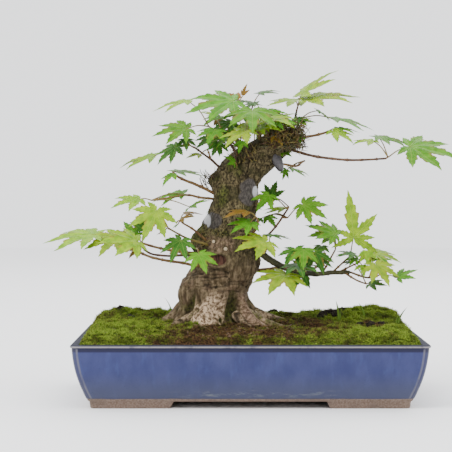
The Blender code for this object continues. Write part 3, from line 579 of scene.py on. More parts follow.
def oval(points, middle, half):
    """Distance from an oval's middle, seen from the front and measured in its half-widths; far away on
    the trunk's other side."""
    away = np.hypot((points[..., 0] - middle[0]) / half[0], (points[..., 2] - middle[1]) / half[1])
    return np.where(points[..., 1] < -2, away, 9.0)


def root_fan(points, middle, drift, half, spread):
    """1 on the front of the flare within a fan that opens downwards: its middle drifts and its half-width
    spreads with the share of the way down to the ground, and its edge is ragged with noise."""
    down = (fan_top - points[..., 2]) / fan_top
    ragged = 1.3 * (cloud(points, 3.4, 18, 4) - 0.5)
    aside = np.abs(points[..., 0] - middle - drift * down) / np.maximum(half + spread * down, 0.5)
    front = smooth_step(-2, -6, points[..., 1]) * smooth_step(0.0, 0.5, down + 0.25 * ragged)
    return front * smooth_step(1.3, 0.6, aside + ragged)


def trunk_surface(rows, sides):
    """The trunk's points and what marks its bark, as grids. Rings stand level at the foot and lean over
    to lie square to the centre line. Each point's reach from that line is the radius, plus the roots,
    plus bell-shaped burls, plus the bark's relief, which is all noise of the point's place."""
    line = [(0, 0, seat, core)] + [(*place, radius) for place, radius in trunk_line]
    line = flowing(line, rows)
    centre, radius = line[:, None, :3], line[:, 3:]
    square = unit_rows(np.gradient(line[:, :3], axis=0))[:, None]
    lean = np.clip((centre[..., 2:] - 10) / 30, 0, 1)
    square = unit_rows((0, 0, 1) + lean * (square - (0, 0, 1)))
    east = unit_rows(np.array([1, 0, 0]) - square * square[..., :1])
    north = np.cross(square, east)
    turn = np.linspace(0, 2 * np.pi, sides, endpoint=False)[None, :, None]
    out = np.cos(turn) * east + np.sin(turn) * north
    angle = np.degrees(turn[..., 0])
    height = centre[..., 2] - seat
    wander = 9 * (cloud(centre + 30 * out, 16, 41, 2) - 0.5) * np.clip(height / 10, 0, 1)
    flare = root_reach(angle + wander, height)
    to_end = np.linspace(np.linalg.norm(np.diff(line[:, :3], axis=0), axis=1).sum(), 0, rows)[:, None]
    reach = radius + flare
    smooth = centre + out * reach[..., None]
    for burl, rise, wide in burls:
        reach = reach + rise * np.exp(-((np.linalg.norm(smooth - burl, axis=-1) / wide) ** 2))
    place = centre + out * reach[..., None]

    foot_part = smooth_step(42, 18, height)
    upper = smooth_step(48, 75, height)
    lumps = cloud(place, 11, 1, 2) - 0.5
    plates = cloud(place * (1, 1, 0.75), 3.6, 2, 3)
    cracks = 1 - np.abs(2 * cloud(place * (1.15, 1.15, 0.55), 5.5, 3, 3) - 1)
    fissures = np.clip((cracks - 0.86) / 0.14, 0, 1)
    folds = 1 - np.abs(2 * cloud(place * (0.15, 0.15, 1.0) + 1.6 * lumps[..., None], 2.5, 4, 2) - 1)
    wrinkled = smooth_step(24, 34, height) * smooth_step(60, 46, height)
    grain_turn = np.stack([angle * 0.42 + 0 * height, reach * 0.22, height * 0.12 + 0 * angle], -1)
    seam = np.minimum(smooth_step(0, 25, angle), smooth_step(360, 335, angle))
    strands = (1 - np.abs(2 * cloud(grain_turn, 3.2, 5, 3) - 1)) * seam
    relief = 2.2 * lumps + (1.0 - 0.5 * foot_part) * (plates - 0.5) * 1.7 - 0.8 * fissures * (0.5 + upper)
    pale_root = root_fan(place, 1, -13, 4, 12)
    pink_root = root_fan(place, 16, 13, 3, 12)
    cleft = np.maximum(root_fan(place, 10, 0, 1.5, 4.5), 0.8 * root_fan(place, -17, -11, 1.0, 3.2))
    rough = 1 - 0.75 * np.maximum(pale_root, pink_root)
    relief = relief * (0.45 + 0.55 * rough) - 0.9 * wrinkled * smooth_step(0.70, 0.97, folds)
    relief += -0.8 * foot_part * smooth_step(0.70, 0.97, strands) * rough
    relief += -2.0 * smooth_step(30, 12, height) * smooth_step(6, 1, flare) * rough
    relief += 1.5 * pale_root + 1.2 * pink_root - 2.4 * cleft

    scar = oval(place, scar_middle, scar_half)
    in_scar = smooth_step(1.0, 0.78, scar)
    callus = np.exp(-(((scar - 1.22) / 0.20) ** 2))
    relief = relief * (1 - 0.7 * in_scar) - 1.7 * in_scar + 1.3 * callus
    paste = np.zeros_like(scar)
    white = np.zeros_like(scar)
    for middle, half in paste_patches:
        ragged = oval(place, middle, half) + 0.5 * (cloud(place, 5, 6, 2) - 0.5)
        paste = np.maximum(paste, smooth_step(1.04, 0.90, ragged))
    relief = relief * (1 - 0.8 * paste) + 0.7 * paste
    for middle, half in paste_highlight_patches:
        white = np.maximum(white, smooth_step(1.1, 0.8, oval(place, middle, half)) * paste)

    rounded = np.sqrt(np.clip(1 - np.clip((3.5 - to_end) / 3.5, 0, 1) ** 2, 0.0, 1))
    settled = smooth_step(0, 3, height)
    reach = (reach + relief * settled * smooth_step(0, 8, to_end)) * rounded
    place = centre + out * reach[..., None]

    # Painted shade: the fissures, folds, strands, low plates and the cleft between the roots are marked to be
    # painted near black.
    hollow = 0.55 * fissures * (0.4 + upper) + 0.8 * smooth_step(0.80, 0.98, folds) * wrinkled
    hollow += 0.6 * foot_part * rough * smooth_step(0.80, 0.98, strands) + 1.2 * (0.42 - plates)
    hollow = np.maximum(np.clip(hollow, 0, 1) * (0.4 + 0.6 * rough), 0.85 * cleft)
    between = foot_part * smooth_step(7.0, 2.0, flare) * smooth_step(26, 10, height)
    moss = np.clip(between * 0.9 + smooth_step(11, 3, height) * cloud(place, 5, 7, 2) * 1.1
                   + upper * smooth_step(0.52, 0.72, cloud(place, 14, 8, 3)) * 0.8, 0, 1)
    moss = np.maximum(moss * (1 - 0.9 * np.maximum(pale_root, 0.8 * pink_root)), 0.7 * cleft)
    pale = np.maximum(pale_root, 0.35 * smooth_step(5, 14, flare) * smooth_step(30, 12, height))
    pink_root = np.maximum(pink_root, 0.6 * smooth_step(1.2, 0.5, oval(place, (0.5, 60), (10, 7)) + lumps))
    marks = {"hollow": hollow, "moss": moss, "pale": pale, "pink": pink_root, "paste": paste, "white": white,
             "scar": in_scar, "callus": callus * (1 - in_scar)}
    return foot + place * unit, {name: value + 0 * hollow for name, value in marks.items()}


def with_ends(grid):
    """A grid of marks as one row, with the middles of its first and last ring added."""
    return np.concatenate([grid.ravel(), [grid[0].mean(), grid[-1].mean()]])


def bark_finish():
    """Olive-brown bark, paler and pinker towards the roots, painted dark with shade in its hollows and green
    where mossy.
    """
    made = Finish("bark", Specular_IOR_Level=0.15)
    z = made.parts(made.place())[2]
    broad = made.noise(0.011, 3.0)
    flecks = made.noise(0.0016, 4.0, (1, 1, 0.7), 0.65)
    fibres = made.noise(0.0026, 4.0, (1, 1, 0.25), 0.6)
    high = (z + (broad - 0.5) * 0.03).step(0.088, 0.112)
    lower = made.mix(fibres.step(0.35, 0.68), (0.046, 0.031, 0.014), (0.205, 0.150, 0.088))
    lower = made.mix(broad.step(0.50, 0.68) * 0.45, lower, (0.210, 0.130, 0.085))
    upper = made.mix(flecks.step(0.36, 0.64), (0.016, 0.012, 0.005), (0.125, 0.098, 0.048))
    upper = made.mix(broad.step(0.45, 0.66) * 0.75, upper, (0.024, 0.022, 0.008))
    colour = made.mix(high, lower, upper)
    pitted = made.noise(0.0021, 5.0, (1, 1, 1), 0.7)
    light_root = made.mix(pitted.step(0.40, 0.60), (0.090, 0.054, 0.030), (0.600, 0.440, 0.285))
    colour = made.mix(made.kept("pale"), colour, light_root)
    pink_root = made.mix(pitted.step(0.42, 0.62), (0.085, 0.052, 0.032), (0.330, 0.220, 0.145))
    colour = made.mix(made.kept("pink") * 0.85, colour, pink_root)
    # Painted shade: near black in the bark's fissures, folds and hollows, and random dark spots on the ground
    # roots.
    colour = made.mix(made.kept("hollow") * 0.85, colour, (0.010, 0.007, 0.003))
    green = made.mix(flecks.step(0.40, 0.60), (0.010, 0.012, 0.003), (0.075, 0.088, 0.014))
    colour = made.mix(made.kept("moss") * broad.step(0.30, 0.55), colour, green)
    red_wood = made.mix(fibres.step(0.35, 0.65), (0.022, 0.010, 0.006), (0.100, 0.045, 0.030))
    colour = made.mix(made.kept("scar"), colour, red_wood)
    colour = made.mix(made.kept("callus") * 0.5, colour, (0.105, 0.080, 0.042))
    paste = made.kept("paste")
    paste_grey = made.mix(flecks.step(0.35, 0.65), (0.021, 0.017, 0.014), (0.058, 0.049, 0.042))
    # Painted highlight: a pale glint on each patch of glossy paste.
    paste_grey = made.mix(made.kept("white") * (0.55 + 0.45 * broad), paste_grey, (0.46, 0.46, 0.48))
    made.drive("Base Color", made.mix(paste, colour, paste_grey))
    made.drive("Roughness", 0.85 - 0.45 * paste)
    made.bump((flecks + fibres) * (1 - 0.85 * paste), 0.0009)
    return made


def bar(path, radii, sides=8):
    """A round bar along a path, with a radius at each point: its rings lie square to the path and are
    carried along it without twist."""
    path = np.asarray(path, float)
    along = unit_rows(np.gradient(path, axis=0))
    across = unit_rows(np.cross(along, np.cross(unit_rows(along.mean(0)), (0.31, 0.77, 0.56))))
    other = np.cross(along, across)
    turn = np.linspace(0, 2 * np.pi, sides, endpoint=False)[None, :, None]
    radii = np.asarray(radii, float)[:, None, None]
    return path[:, None] + radii * (np.cos(turn) * across[:, None] + np.sin(turn) * other[:, None])


def ground_root(angle, start, reach, thick, seed):
    """A root that runs out of the flare along the ground: it starts under the bark, winds a little by a
    noise of the way along it, sinks and thins to nothing, and is knotted by noise of its place."""
    share = np.linspace(0, 1, 60)
    way = start + (reach - start) * share
    along = np.stack([share * 3, share, seed + 0 * share], -1)
    bend = np.radians(angle + 16 * (cloud(along, 1, 15, 2) - 0.5))
    fall = 9.0 * (1 - share) ** 2 - 1.4 - 1.2 * share
    line = np.stack([way * np.cos(bend), way * np.sin(bend), fall], -1)
    radii = thick * (1 - 0.75 * share) * np.sqrt(np.clip(1 - share**6, 0.01, 1))
    grid = bar(line, radii, 22)
    knots = cloud(grid, 2.6, 16, 3) - 0.5
    return grid + 0.9 * knots[..., None] * (radii[:, None, None] / thick) * unit_rows(grid - line[:, None])


bark = bark_finish()
surface, marks = trunk_surface(268, 300)
# Roots along the ground: direction in degrees, where each leaves the flare, its reach and its thickness.
ground_roots = [
    (-56, 20, 44, 4.0), (-30, 24, 64, 4.6), (-12, 26, 52, 3.0), (7, 26, 72, 4.8), (48, 22, 52, 4.4),
    (92, 22, 54, 4.8), (133, 24, 56, 4.6), (167, 24, 60, 4.4), (-166, 22, 50, 3.2), (-150, 22, 52, 3.6),
    (-118, 20, 42, 3.4),
]
shapes = [skin(surface)]
marks = {name: [with_ends(mark)] for name, mark in marks.items()}
for seed, (angle, start, reach, thick) in enumerate(ground_roots):
    shapes.append(skin(foot + ground_root(angle, start, reach, thick, seed) * unit))
    points = (shapes[-1][0] - foot) / unit
    knots = cloud(points, 4.0, 17, 3)
    # On the ground roots this mark is random dark spots rather than shade.
    fresh = {"hollow": smooth_step(0.42, 0.30, knots), "moss": 0.75 * smooth_step(0.45, 0.62, knots),
             "pale": 0.45 * smooth_step(2.0, 6.0, points[:, 2]) + 0.15}
    for name in marks:
        marks[name].append(fresh.get(name, 0 * knots))
trunk = make_piece("trunk_bark", *joined(shapes), [bark], {n: np.concatenate(m) for n, m in marks.items()})
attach(trunk, "root")
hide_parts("trunk")

# What was cut from the trunk.
# Two thin limbs sawn off in front show cream wood, and a third, under the crown, is capped in grey paste.


def trunk_point(x, z, lift=0.0):
    """The place on the trunk's front at this x and height, in its units, and the way that faces out."""
    points = (surface - foot) / unit
    away = np.hypot(points[..., 0] - x, points[..., 2] - z) + 99 * (points[..., 1] > -4)
    row, side = np.unravel_index(np.argmin(away), away.shape)
    out = points[row, side] - points[row].mean(0)
    out = out / np.linalg.norm(out)
    return points[row, side] + lift * out, out


cut_wood = Finish("cut_wood", Roughness=0.6)
rings_of_wood = cut_wood.noise(0.0006, 2.0)
cut_wood.drive("Base Color", cut_wood.mix(rings_of_wood, (0.260, 0.190, 0.110), (0.460, 0.370, 0.240)))
cut_wood.bump(rings_of_wood, 0.0002)


def stub_shape(x, z, radius):
    """A short bar out of the bark with a swollen collar and a nearly flat, slightly domed cut end."""
    start, out = trunk_point(x, z, -2.5)
    steps = np.array([0, 2.0, 2.9, 3.3, 3.5, 3.6])[:, None]
    radii = radius * np.array([1.5, 1.35, 1.1, 0.95, 0.6, 0.1])
    return skin(foot + bar(start + steps * out, radii, 14) * unit)


stubs = [stub_shape(-4.4, 61.8, 1.35), stub_shape(4.6, 57.0, 1.5)]
points, faces = joined(stubs)
cut_face = [np.arange(len(side)) // 14 >= 3 if side.shape[1] == 4 else np.full(len(side), i % 3 == 2)
            for i, side in enumerate(faces)]
cut_stubs = make_piece("cut_stubs", points, faces, [bark, cut_wood], None, np.concatenate(cut_face))
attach(cut_stubs, "root")

wound_paste = Finish("wound_paste")
dabs = wound_paste.noise(0.003, 3.0)
paste_colour = wound_paste.mix(dabs.step(0.3, 0.7), (0.016, 0.014, 0.016), (0.055, 0.048, 0.052))
wound_paste.drive("Base Color", paste_colour)
wound_paste.drive("Roughness", 0.35 + 0.3 * dabs)
wound_paste.bump(dabs, 0.0006)
cap_line = flowing([(40, -13, 129), (42.5, -15, 124), (44.5, -16, 119), (46.5, -16, 114.5)], 24)
cap_radii = 3.6 * np.sqrt(np.clip(1 - np.linspace(0, 1, 24) ** 3.2, 0.003, 1)) + 0.3
cap_grid = bar(cap_line, cap_radii, 24)
dented = 0.9 * (cloud(cap_grid, 3.5, 12, 2) - 0.5)
cap_grid = cap_grid + dented[..., None] * unit_rows(cap_grid - cap_line[:, None])
capped = make_piece("capped_stub", *skin(foot + cap_grid * unit), [wound_paste])
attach(capped, "root")

# The moss.
# Four patches of low cushion moss, pressed together over the soil from corner to corner, bright green on
# the mounds and browner in front of the trunk. Each is a bed of soft pads thickly set with tiny shoots.

moss_roll, moss_edge_drop, moss_rise, moss_back_rise, moss_thick = 0.007, 0.0005, 0.0055, 0.005, 0.003
shoot_radius = 0.0003
inner_half = pot_half - wall_thick
# Mounds: place across and along the pot as shares of its inside, height and half-widths.
moss_mounds = [((-0.78, 0.5), 0.0035, (0.030, 0.035)), ((0.80, 0.5), 0.005, (0.032, 0.035))]
# Where the moss is barer or more lush: by how much, the middle and the half-widths; the last two run
# from front to back.
moss_swings = [
    (-0.55, (-0.012, -0.055), (0.048, 0.060)), (-0.9, (0.093, -0.022), (0.014, 0.016)),
    (-0.5, (0.045, -0.010), (0.012, 0.020)), (0.30, (0.100, 0), (0.030, math.inf)),
    (0.20, (-0.085, 0), (0.030, math.inf)),
]


def level(x, y):
    """These places as points in one level plane."""
    return np.stack([x, y, 0 * x], -1)


def moss_clumps(x, y):
    """Noise that is high on the clumps that roughen the bed and low in the gaps between them."""
    return cloud(level(x, y), 0.0050, 22, 3)


def moss_height(x, y):
    """Nearly level with the lip at the wall, rounding up by an exponential to a bed that rises to the back
    by a smooth step and to each mound by a bell; soft pads and finer clumps are noise on top of it."""
    inwards = np.clip(np.minimum(inner_half[0] - np.abs(x), inner_half[1] - np.abs(y)), 0, 1)
    roll = 1 - np.exp(-inwards / (moss_roll - 0.0035 * smooth_step(0.6, 0.9, np.abs(x) / inner_half[0])))
    rise = moss_rise + moss_back_rise * smooth_step(0, 1, (y + inner_half[1]) / (1.45 * inner_half[1]))
    for (across, deep), height, (wide_x, wide_y) in moss_mounds:
        away = ((x - across * inner_half[0]) / wide_x) ** 2 + ((y - deep * inner_half[1]) / wide_y) ** 2
        rise = rise + height * np.exp(-away)
    pads = 1 - np.abs(2 * cloud(level(x, y), 0.017, 21, 2) - 1)
    rough = moss_clumps(x, y) - 0.5
    return pot_height - moss_edge_drop + roll * (rise + 0.0050 * (pads - 0.72) + 0.0058 * rough)


def moss_lushness(x, y):
    """1 where the moss is bright and thick and 0 where it is bare and brown: noise, and a bell for each
    place where it is barer or more lush."""
    flat = level(x, y)
    lush = 0.10 + 0.75 * cloud(flat, 0.030, 23, 3) + 0.9 * (cloud(flat, 0.0055, 24, 3) - 0.42)
    for swing, (middle_x, middle_y), (wide, deep) in moss_swings:
        lush = lush + swing * np.exp(-(((x - middle_x) / wide) ** 2) - ((y - middle_y) / deep) ** 2)
    return np.clip(lush, 0, 1)


def moss_places(corner_a, corner_b, across, outwards):
    """Points of one patch: across runs from one corner of the pot to the next along the wall, and
    outwards from under the trunk to the wall, both from 0 to 1."""
    wall = corner_a + across[..., None] * (corner_b - corner_a)
    way = wall - foot[:2]
    start = foot[:2] + unit_rows(way) * 0.019
    spot = start + outwards[..., None] * (wall - start)
    return spot[..., 0], spot[..., 1]


def moss_bed(corner_a, corner_b, columns=190, rows=84):
    """The patch's bed as a closed skin: each column runs out over the top and back underneath."""
    across, outwards = np.meshgrid(np.linspace(0, 1, columns), np.linspace(0, 1, rows) ** 0.85, indexing="ij")
    x, y = moss_places(corner_a, corner_b, across, outwards)
    z = moss_height(x, y)
    top = np.stack([x, y, z], -1)
    low = np.stack([x, y, np.minimum(z, pot_height + 0.004) - moss_thick], -1)[:, ::-8]
    grid = np.concatenate([top, low], axis=1)
    return skin(grid[::-1]), moss_lushness(*np.moveaxis(grid[::-1][..., :2], -1, 0))


def moss_shoots(corner_a, corner_b, count, seed):
    """Tiny shoots standing in tufts of five on the bed: each is a three-sided spike that leans out of its
    tuft, taller where the moss is lush."""
    draw = np.random.default_rng(seed)
    x, y = moss_places(corner_a, corner_b, draw.random(count), np.sqrt(draw.random(count)) * 0.995)
    lush = moss_lushness(x, y) + draw.normal(0, 0.16, count)
    tall = (0.0010 + 0.0014 * np.clip(lush, 0, 1)) * draw.uniform(0.6, 1.4, count)
    wall_gap = np.minimum(inner_half[0] - np.abs(x), inner_half[1] - np.abs(y))
    tall = tall * smooth_step(-0.001, 0.004, wall_gap) + 0.0003
    root = np.stack([x, y, moss_height(x, y) - 0.0004], -1)[:, None]
    turn = (np.arange(5) * 2 * np.pi / 5 + draw.uniform(0, 6.3, (count, 1)))[..., None]
    lean = draw.uniform(0.25, 0.85, (count, 5, 1))
    way = np.concatenate([np.cos(turn) * lean, np.sin(turn) * lean, np.ones_like(turn)], -1)
    tip = root + way * tall[:, None, None] * draw.uniform(0.7, 1.1, (count, 5, 1))
    base = root + 0.25 * (tip - root) * (1, 1, 0)
    corners = []
    for k in range(3):
        spin = turn + k * 2 * np.pi / 3
        corners.append(base + np.concatenate([np.cos(spin), np.sin(spin), 0 * spin], -1) * shoot_radius)
    shoots = np.stack(corners + [tip], 2).reshape(-1, 3)
    first = np.arange(count * 5)[:, None] * 4
    sides = [first + np.array(side) for side in ((0, 1, 3), (1, 2, 3), (2, 0, 3), (2, 1, 0))]
    # Painted light: each shoot is lit at its tip and shaded at its foot, and shaded more in the gaps between
    # the clumps.
    lit_crest = 0.25 + 0.75 * smooth_step(0.34, 0.62, moss_clumps(x, y))
    moss_light = np.tile([0.1, 0.1, 0.1, 1.0], count * 5) * np.repeat(lit_crest, 20)
    return (shoots, sides), np.repeat(lush, 20), moss_light


def moss_finish():
    """Green shoots over olive and brown, browner where the moss is thin, with painted light: bright at the
    shoots' tips on the clumps, and painted shade on the bed, at the shoots' feet and in the gaps between
    clumps.
    """
    made = Finish("moss", Roughness=0.9, Specular_IOR_Level=0.1)
    lush = made.kept("lush") + (made.noise(0.006, 4.0) - 0.5) * 0.8
    moss_light = made.kept("moss_light")
    speck = made.noise(0.0013, 2.0)
    brown = made.mix(speck.step(0.35, 0.65), (0.016, 0.009, 0.004), (0.125, 0.072, 0.034))
    olive = made.mix(speck.step(0.30, 0.70), (0.024, 0.026, 0.005), (0.135, 0.132, 0.028))
    bright = made.mix(speck.step(0.30, 0.70), (0.042, 0.088, 0.006), (0.215, 0.300, 0.040))
    colour = made.mix(lush.step(0.15, 0.42), brown, olive)
    colour = made.mix(lush.step(0.42, 0.75), colour, bright)
    shade = made.mix(moss_light, (0.22, 0.19, 0.16), (1.65, 1.60, 1.40))
    made.drive("Base Color", made.multiplied(colour, shade))
    made.bump(speck, 0.0006)
    return made


moss_green = moss_finish()
corners = [inner_half * signs for signs in ((-1, -1), (1, -1), (1, 1), (-1, 1))]
for k, (patch, many) in enumerate((("front", 7800), ("right", 7400), ("back", 7400), ("left", 7400))):
    ends = corners[k], corners[(k + 1) % 4]
    bed, bed_lush = moss_bed(*ends)
    shoots, shoot_lush, moss_light = moss_shoots(*ends, many, 30 + k)
    points, faces = joined([bed, shoots])
    lush = np.concatenate([with_ends(bed_lush), shoot_lush])
    # Painted shade: the bed under the shoots is painted dark.
    moss_light = np.concatenate([np.full(len(lush) - len(moss_light), 0.15), moss_light])
    moss = make_piece("moss_patch_" + patch, points, faces, [moss_green], {"lush": lush, "moss_light": moss_light})
    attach(moss, "root")
    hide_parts("moss_" + patch)

# On the moss.
# Dark lumps of old soil and bark show through, and a few of them stand in for the shade in a hollow; a few
# grass blades have seeded themselves, and dry scraps of leaf lie in front of the trunk.


def lump_shape(x, y, size, seed):
    """A clod: a sphere, flattened a little and pushed in and out by noise of the direction."""
    around, up = np.meshgrid(np.linspace(0, 2 * np.pi, 44, endpoint=False), np.linspace(-1.5, 1.5, 24))
    out = np.stack([np.cos(around) * np.cos(up), np.sin(around) * np.cos(up), np.sin(up)], -1)
    reach = size * (0.25 + 1.5 * cloud(out + seed, 0.45, 51, 4))
    middle = (x, y, float(moss_height(x, y)) + 0.25 * size)
    return skin(middle + out * reach[..., None] * (1, 1, 0.75))


crumbly = Finish("crumbly_soil", Roughness=0.95, Specular_IOR_Level=0.1)
crumbs = crumbly.noise(0.0016, 4.0)
crumbly.drive("Base Color", crumbly.mix(crumbs.step(0.35, 0.7), (0.005, 0.004, 0.003), (0.036, 0.028, 0.020)))
crumbly.bump(crumbs, 0.001)
# Each clod's place across and along the pot, and its size. The three near (0.09, -0.02) are dark lumps that
# stand in as painted shade for a hollow under a ridge of moss.
clods = [
    (-0.0905, 0.010, 0.0036), (-0.0735, 0.006, 0.0030), (0.062, 0.024, 0.0054), (0.067, 0.020, 0.0046),
    (0.0575, 0.020, 0.0042), (0.091, -0.018, 0.0034), (0.098, -0.024, 0.0030), (0.082, -0.014, 0.0028),
    (0.074, 0.052, 0.0040), (-0.045, 0.060, 0.0042), (0.020, 0.070, 0.0036), (-0.100, 0.050, 0.0030),
]
clod_shapes = [lump_shape(*clod, 3 * k) for k, clod in enumerate(clods)]
lumps = make_piece("soil_lumps", *joined(clod_shapes), [crumbly])
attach(lumps, "root")


def blade_shape(x, y, tip, wide):
    """One grass blade, folded along its middle: it narrows to its tip and bends over by the square of
    the way along it."""
    root = np.array([x, y, float(moss_height(x, y)) - 0.001])
    share = np.linspace(0, 1, 14)[:, None]
    line = root + share * (np.array(tip) - root) * (1, 1, 0) * share + share * (0, 0, 1) * (tip[2] - root[2])
    half = wide * (1 - share**2) + 0.00004
    aside = np.array([0.8, 0.6, 0.0])
    thick = np.array([0.0, 0.0001, 0.00005])
    fold = line + half * 0.4 * np.array([-0.6, 0.8, 0])
    return skin(np.stack([line - half * aside, fold - thick, line + half * aside, fold + thick], 1))


grass = Finish("grass", Roughness=0.7, Specular_IOR_Level=0.05)
fibre = grass.noise(0.002, 3.0, (1, 1, 0.2))
grass.drive("Base Color", grass.mix(fibre, (0.050, 0.110, 0.010), (0.120, 0.190, 0.030)))
grass.bump(fibre, 0.0002)
# Each blade's foot, its tip and its half-width.
grass_blades = [
    ((0.068, -0.004), (0.0655, -0.006, 0.0715), 0.0016), ((0.069, -0.003), (0.0700, 0.004, 0.0665), 0.0006),
    ((0.0885, 0.012), (0.0835, 0.010, 0.0690), 0.0014), ((0.1115, -0.010), (0.1185, -0.014, 0.0675), 0.0014),
    ((-0.060, 0.055), (-0.066, 0.058, 0.0700), 0.0006), ((0.110, -0.012), (0.1120, -0.016, 0.0640), 0.0006),
]
blades = [blade_shape(*at, tip, wide) for at, tip, wide in grass_blades]
grass_piece = make_piece("grass_blades", *joined(blades), [grass])
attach(grass_piece, "root")


def litter_shapes(count, seed):
    """Dry scraps: thin bent diamonds a few millimetres long that lie about on the front of the moss."""
    draw = np.random.default_rng(seed)
    x, y = draw.normal(-0.012, 0.040, count), draw.uniform(-0.084, -0.022, count)
    spot = np.stack([x, y, moss_height(x, y) + 0.0011], -1)[:, None]
    turn = draw.uniform(0, 2 * np.pi, (count, 1))
    long, wide = draw.uniform(0.0011, 0.0030, (count, 1)), draw.uniform(0.0003, 0.0008, (count, 1))
    tilt = draw.uniform(-0.5, 0.5, (count, 1))
    along = np.stack([np.cos(turn) * long, np.sin(turn) * long, tilt * long], -1)
    aside = np.stack([-np.sin(turn) * wide, np.cos(turn) * wide, 0.4 * wide], -1)
    up = np.array([0, 0, 0.0002])
    scraps = np.concatenate([spot - along, spot - aside, spot + along, spot + aside, spot + up, spot - up], 1)
    first = np.arange(count)[:, None] * 6
    ring = ((0, 1), (1, 2), (2, 3), (3, 0))
    sides = [first + np.array([a, b, 4]) for a, b in ring] + [first + np.array([b, a, 5]) for a, b in ring]
    return scraps.reshape(-1, 3), sides


dry_leaf = Finish("dry_leaf", Roughness=0.8)
faded = dry_leaf.noise(0.006, 2.0)
dry_colour = dry_leaf.mix(faded.step(0.35, 0.65), (0.050, 0.016, 0.008), (0.150, 0.086, 0.040))
dry_leaf.drive("Base Color", dry_colour)
dry_leaf.bump(dry_leaf.noise(0.001), 0.0002)
litter = make_piece("leaf_litter", *litter_shapes(240, 61), [dry_leaf])
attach(litter, "root")

# The limbs.
# Ten shoots that have hardened into wood, red-brown on the young ones and olive on the thick low one. A
# ring of bud scars swells each of them every centimetre or so, with a pair of buds on it.

# Radius at the base and at the end, then the route from inside the trunk.
branches = {
    "branch_crown_left": (1.1, 0.7, [(8, -4, 116), (2, -6, 117), (-7, -12, 124), (-18, -18, 132)]),
    "branch_crown_front": (1.2, 0.75, [(15, -8, 119), (12, -18, 129), (5, -24, 138), (-3, -24, 145)]),
    "branch_crown_top": (1.2, 0.75, [(32, -10, 131), (29, -14, 144), (23, -12, 155), (18, -8, 164)]),
    "branch_crown_right": (1.1, 0.7, [(53, -12, 140), (56, -6, 150), (58, -2, 160)]),
    "branch_right_long": (1.2, 0.75, [(45, -10, 134), (53, -13, 131), (66, -18, 127), (83, -22, 124),
        (100, -24, 123), (123, -24, 124)]),
    "branch_middle_right": (1.0, 0.7, [(18, -12, 57), (29, -17, 62), (37, -16, 68), (51, -10, 86)]),
    "branch_low_right": (3.0, 1.5, [(15, -8, 60), (27, -13, 56), (36, -18, 50), (46, -22, 44),
        (60, -22, 40), (73, -18, 38), (86, -14, 39), (98, -12, 39)]),
    "branch_low_left_yellow": (1.0, 0.65, [(-4, -16, 58), (-12, -24, 61), (-26, -28, 66),
        (-37, -30, 72)]),
    "branch_low_left_middle": (1.1, 0.75, [(-7, -10, 50), (-16, -16, 51), (-24, -20, 52),
        (-40, -24, 52), (-52, -26, 54), (-58, -28, 59)]),
    "branch_back_high": (1.3, 0.85, [(20, 2, 117), (19, 20, 124), (16, 38, 132)]),
}


def bud_shape(place, way, size):
    """A pointed bud: a drop twice as long as it is wide."""
    line = np.asarray(place) + np.linspace(0, 2.4, 7)[:, None] * size * np.asarray(way)
    return skin(bar(line, size * np.array([0.5, 0.78, 0.85, 0.72, 0.5, 0.25, 0.04]), 7))


def grown_piece(name, shapes, finishes, kept=None, finish_of=None):
    """A piece made of shapes that are laid out in the tree's own steps."""
    points, faces = joined(shapes)
    made = make_piece(name, foot + points * unit, faces, finishes, kept, finish_of)
    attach(made, "root")
    return made


def limb_shapes(route, base_radius, end_radius, spacing=11.0):
    """The limb's bar along a smooth curve, with noise for its bends and a swelling at every node, and a
    pair of buds on opposite sides of each node, in turn level and upright."""
    length = np.linalg.norm(np.diff(np.asarray(route, float), axis=0), axis=1).sum()
    count = int(length / 0.7) + 8
    line = flowing(route, count)
    share = np.linspace(0, 1, count)
    sway = np.stack([cloud(line + 50 * k, 14, 71, 2) for k in (1, 2, 3)], -1) - 0.5
    line = line + 0.9 * np.sin(np.pi * share)[:, None] * sway
    radii = base_radius + (end_radius - base_radius) * share
    at = share * length
    nodes = np.arange(spacing * 0.8, length - 2, spacing)
    for node in nodes:
        radii = radii + 0.16 * end_radius * np.exp(-(((at - node) / 1.0) ** 2))
    radii[-1] *= 0.5
    grid = bar(line, radii, 12)
    rough = 0.25 * base_radius * (cloud(grid, 2.6, 72, 2) - 0.5)
    grid = grid + rough[..., None] * unit_rows(grid - line[:, None])
    shapes = [skin(grid)]
    for k, node in enumerate(nodes):
        i = int(np.argmin(np.abs(at - node)))
        way = unit_rows(line[min(i + 1, count - 1)] - line[i - 1])
        aside = unit_rows(np.cross(way, (0, 0, 1) if k % 2 else (0, 1, 0)))
        for hand in (-1, 1):
            bud = line[i] + hand * aside * radii[i] * 0.7
            shapes.append(bud_shape(bud, unit_rows(hand * aside + way), 0.42))
    return shapes, line


def twig_finish(name, dark, light):
    """Smooth young bark with pale specks, streaked along and across."""
    made = Finish(name, Specular_IOR_Level=0.2)
    broad = made.noise(0.007, 3.0)
    speck = made.noise(0.0011, 3.0, (1, 1, 0.6))
    made.drive("Base Color", made.mix(broad.step(0.3, 0.7) * 0.6 + speck.step(0.45, 0.7) * 0.4, dark, light))
    made.drive("Roughness", 0.65 - 0.2 * broad)
    made.bump(speck, 0.0003)
    return made


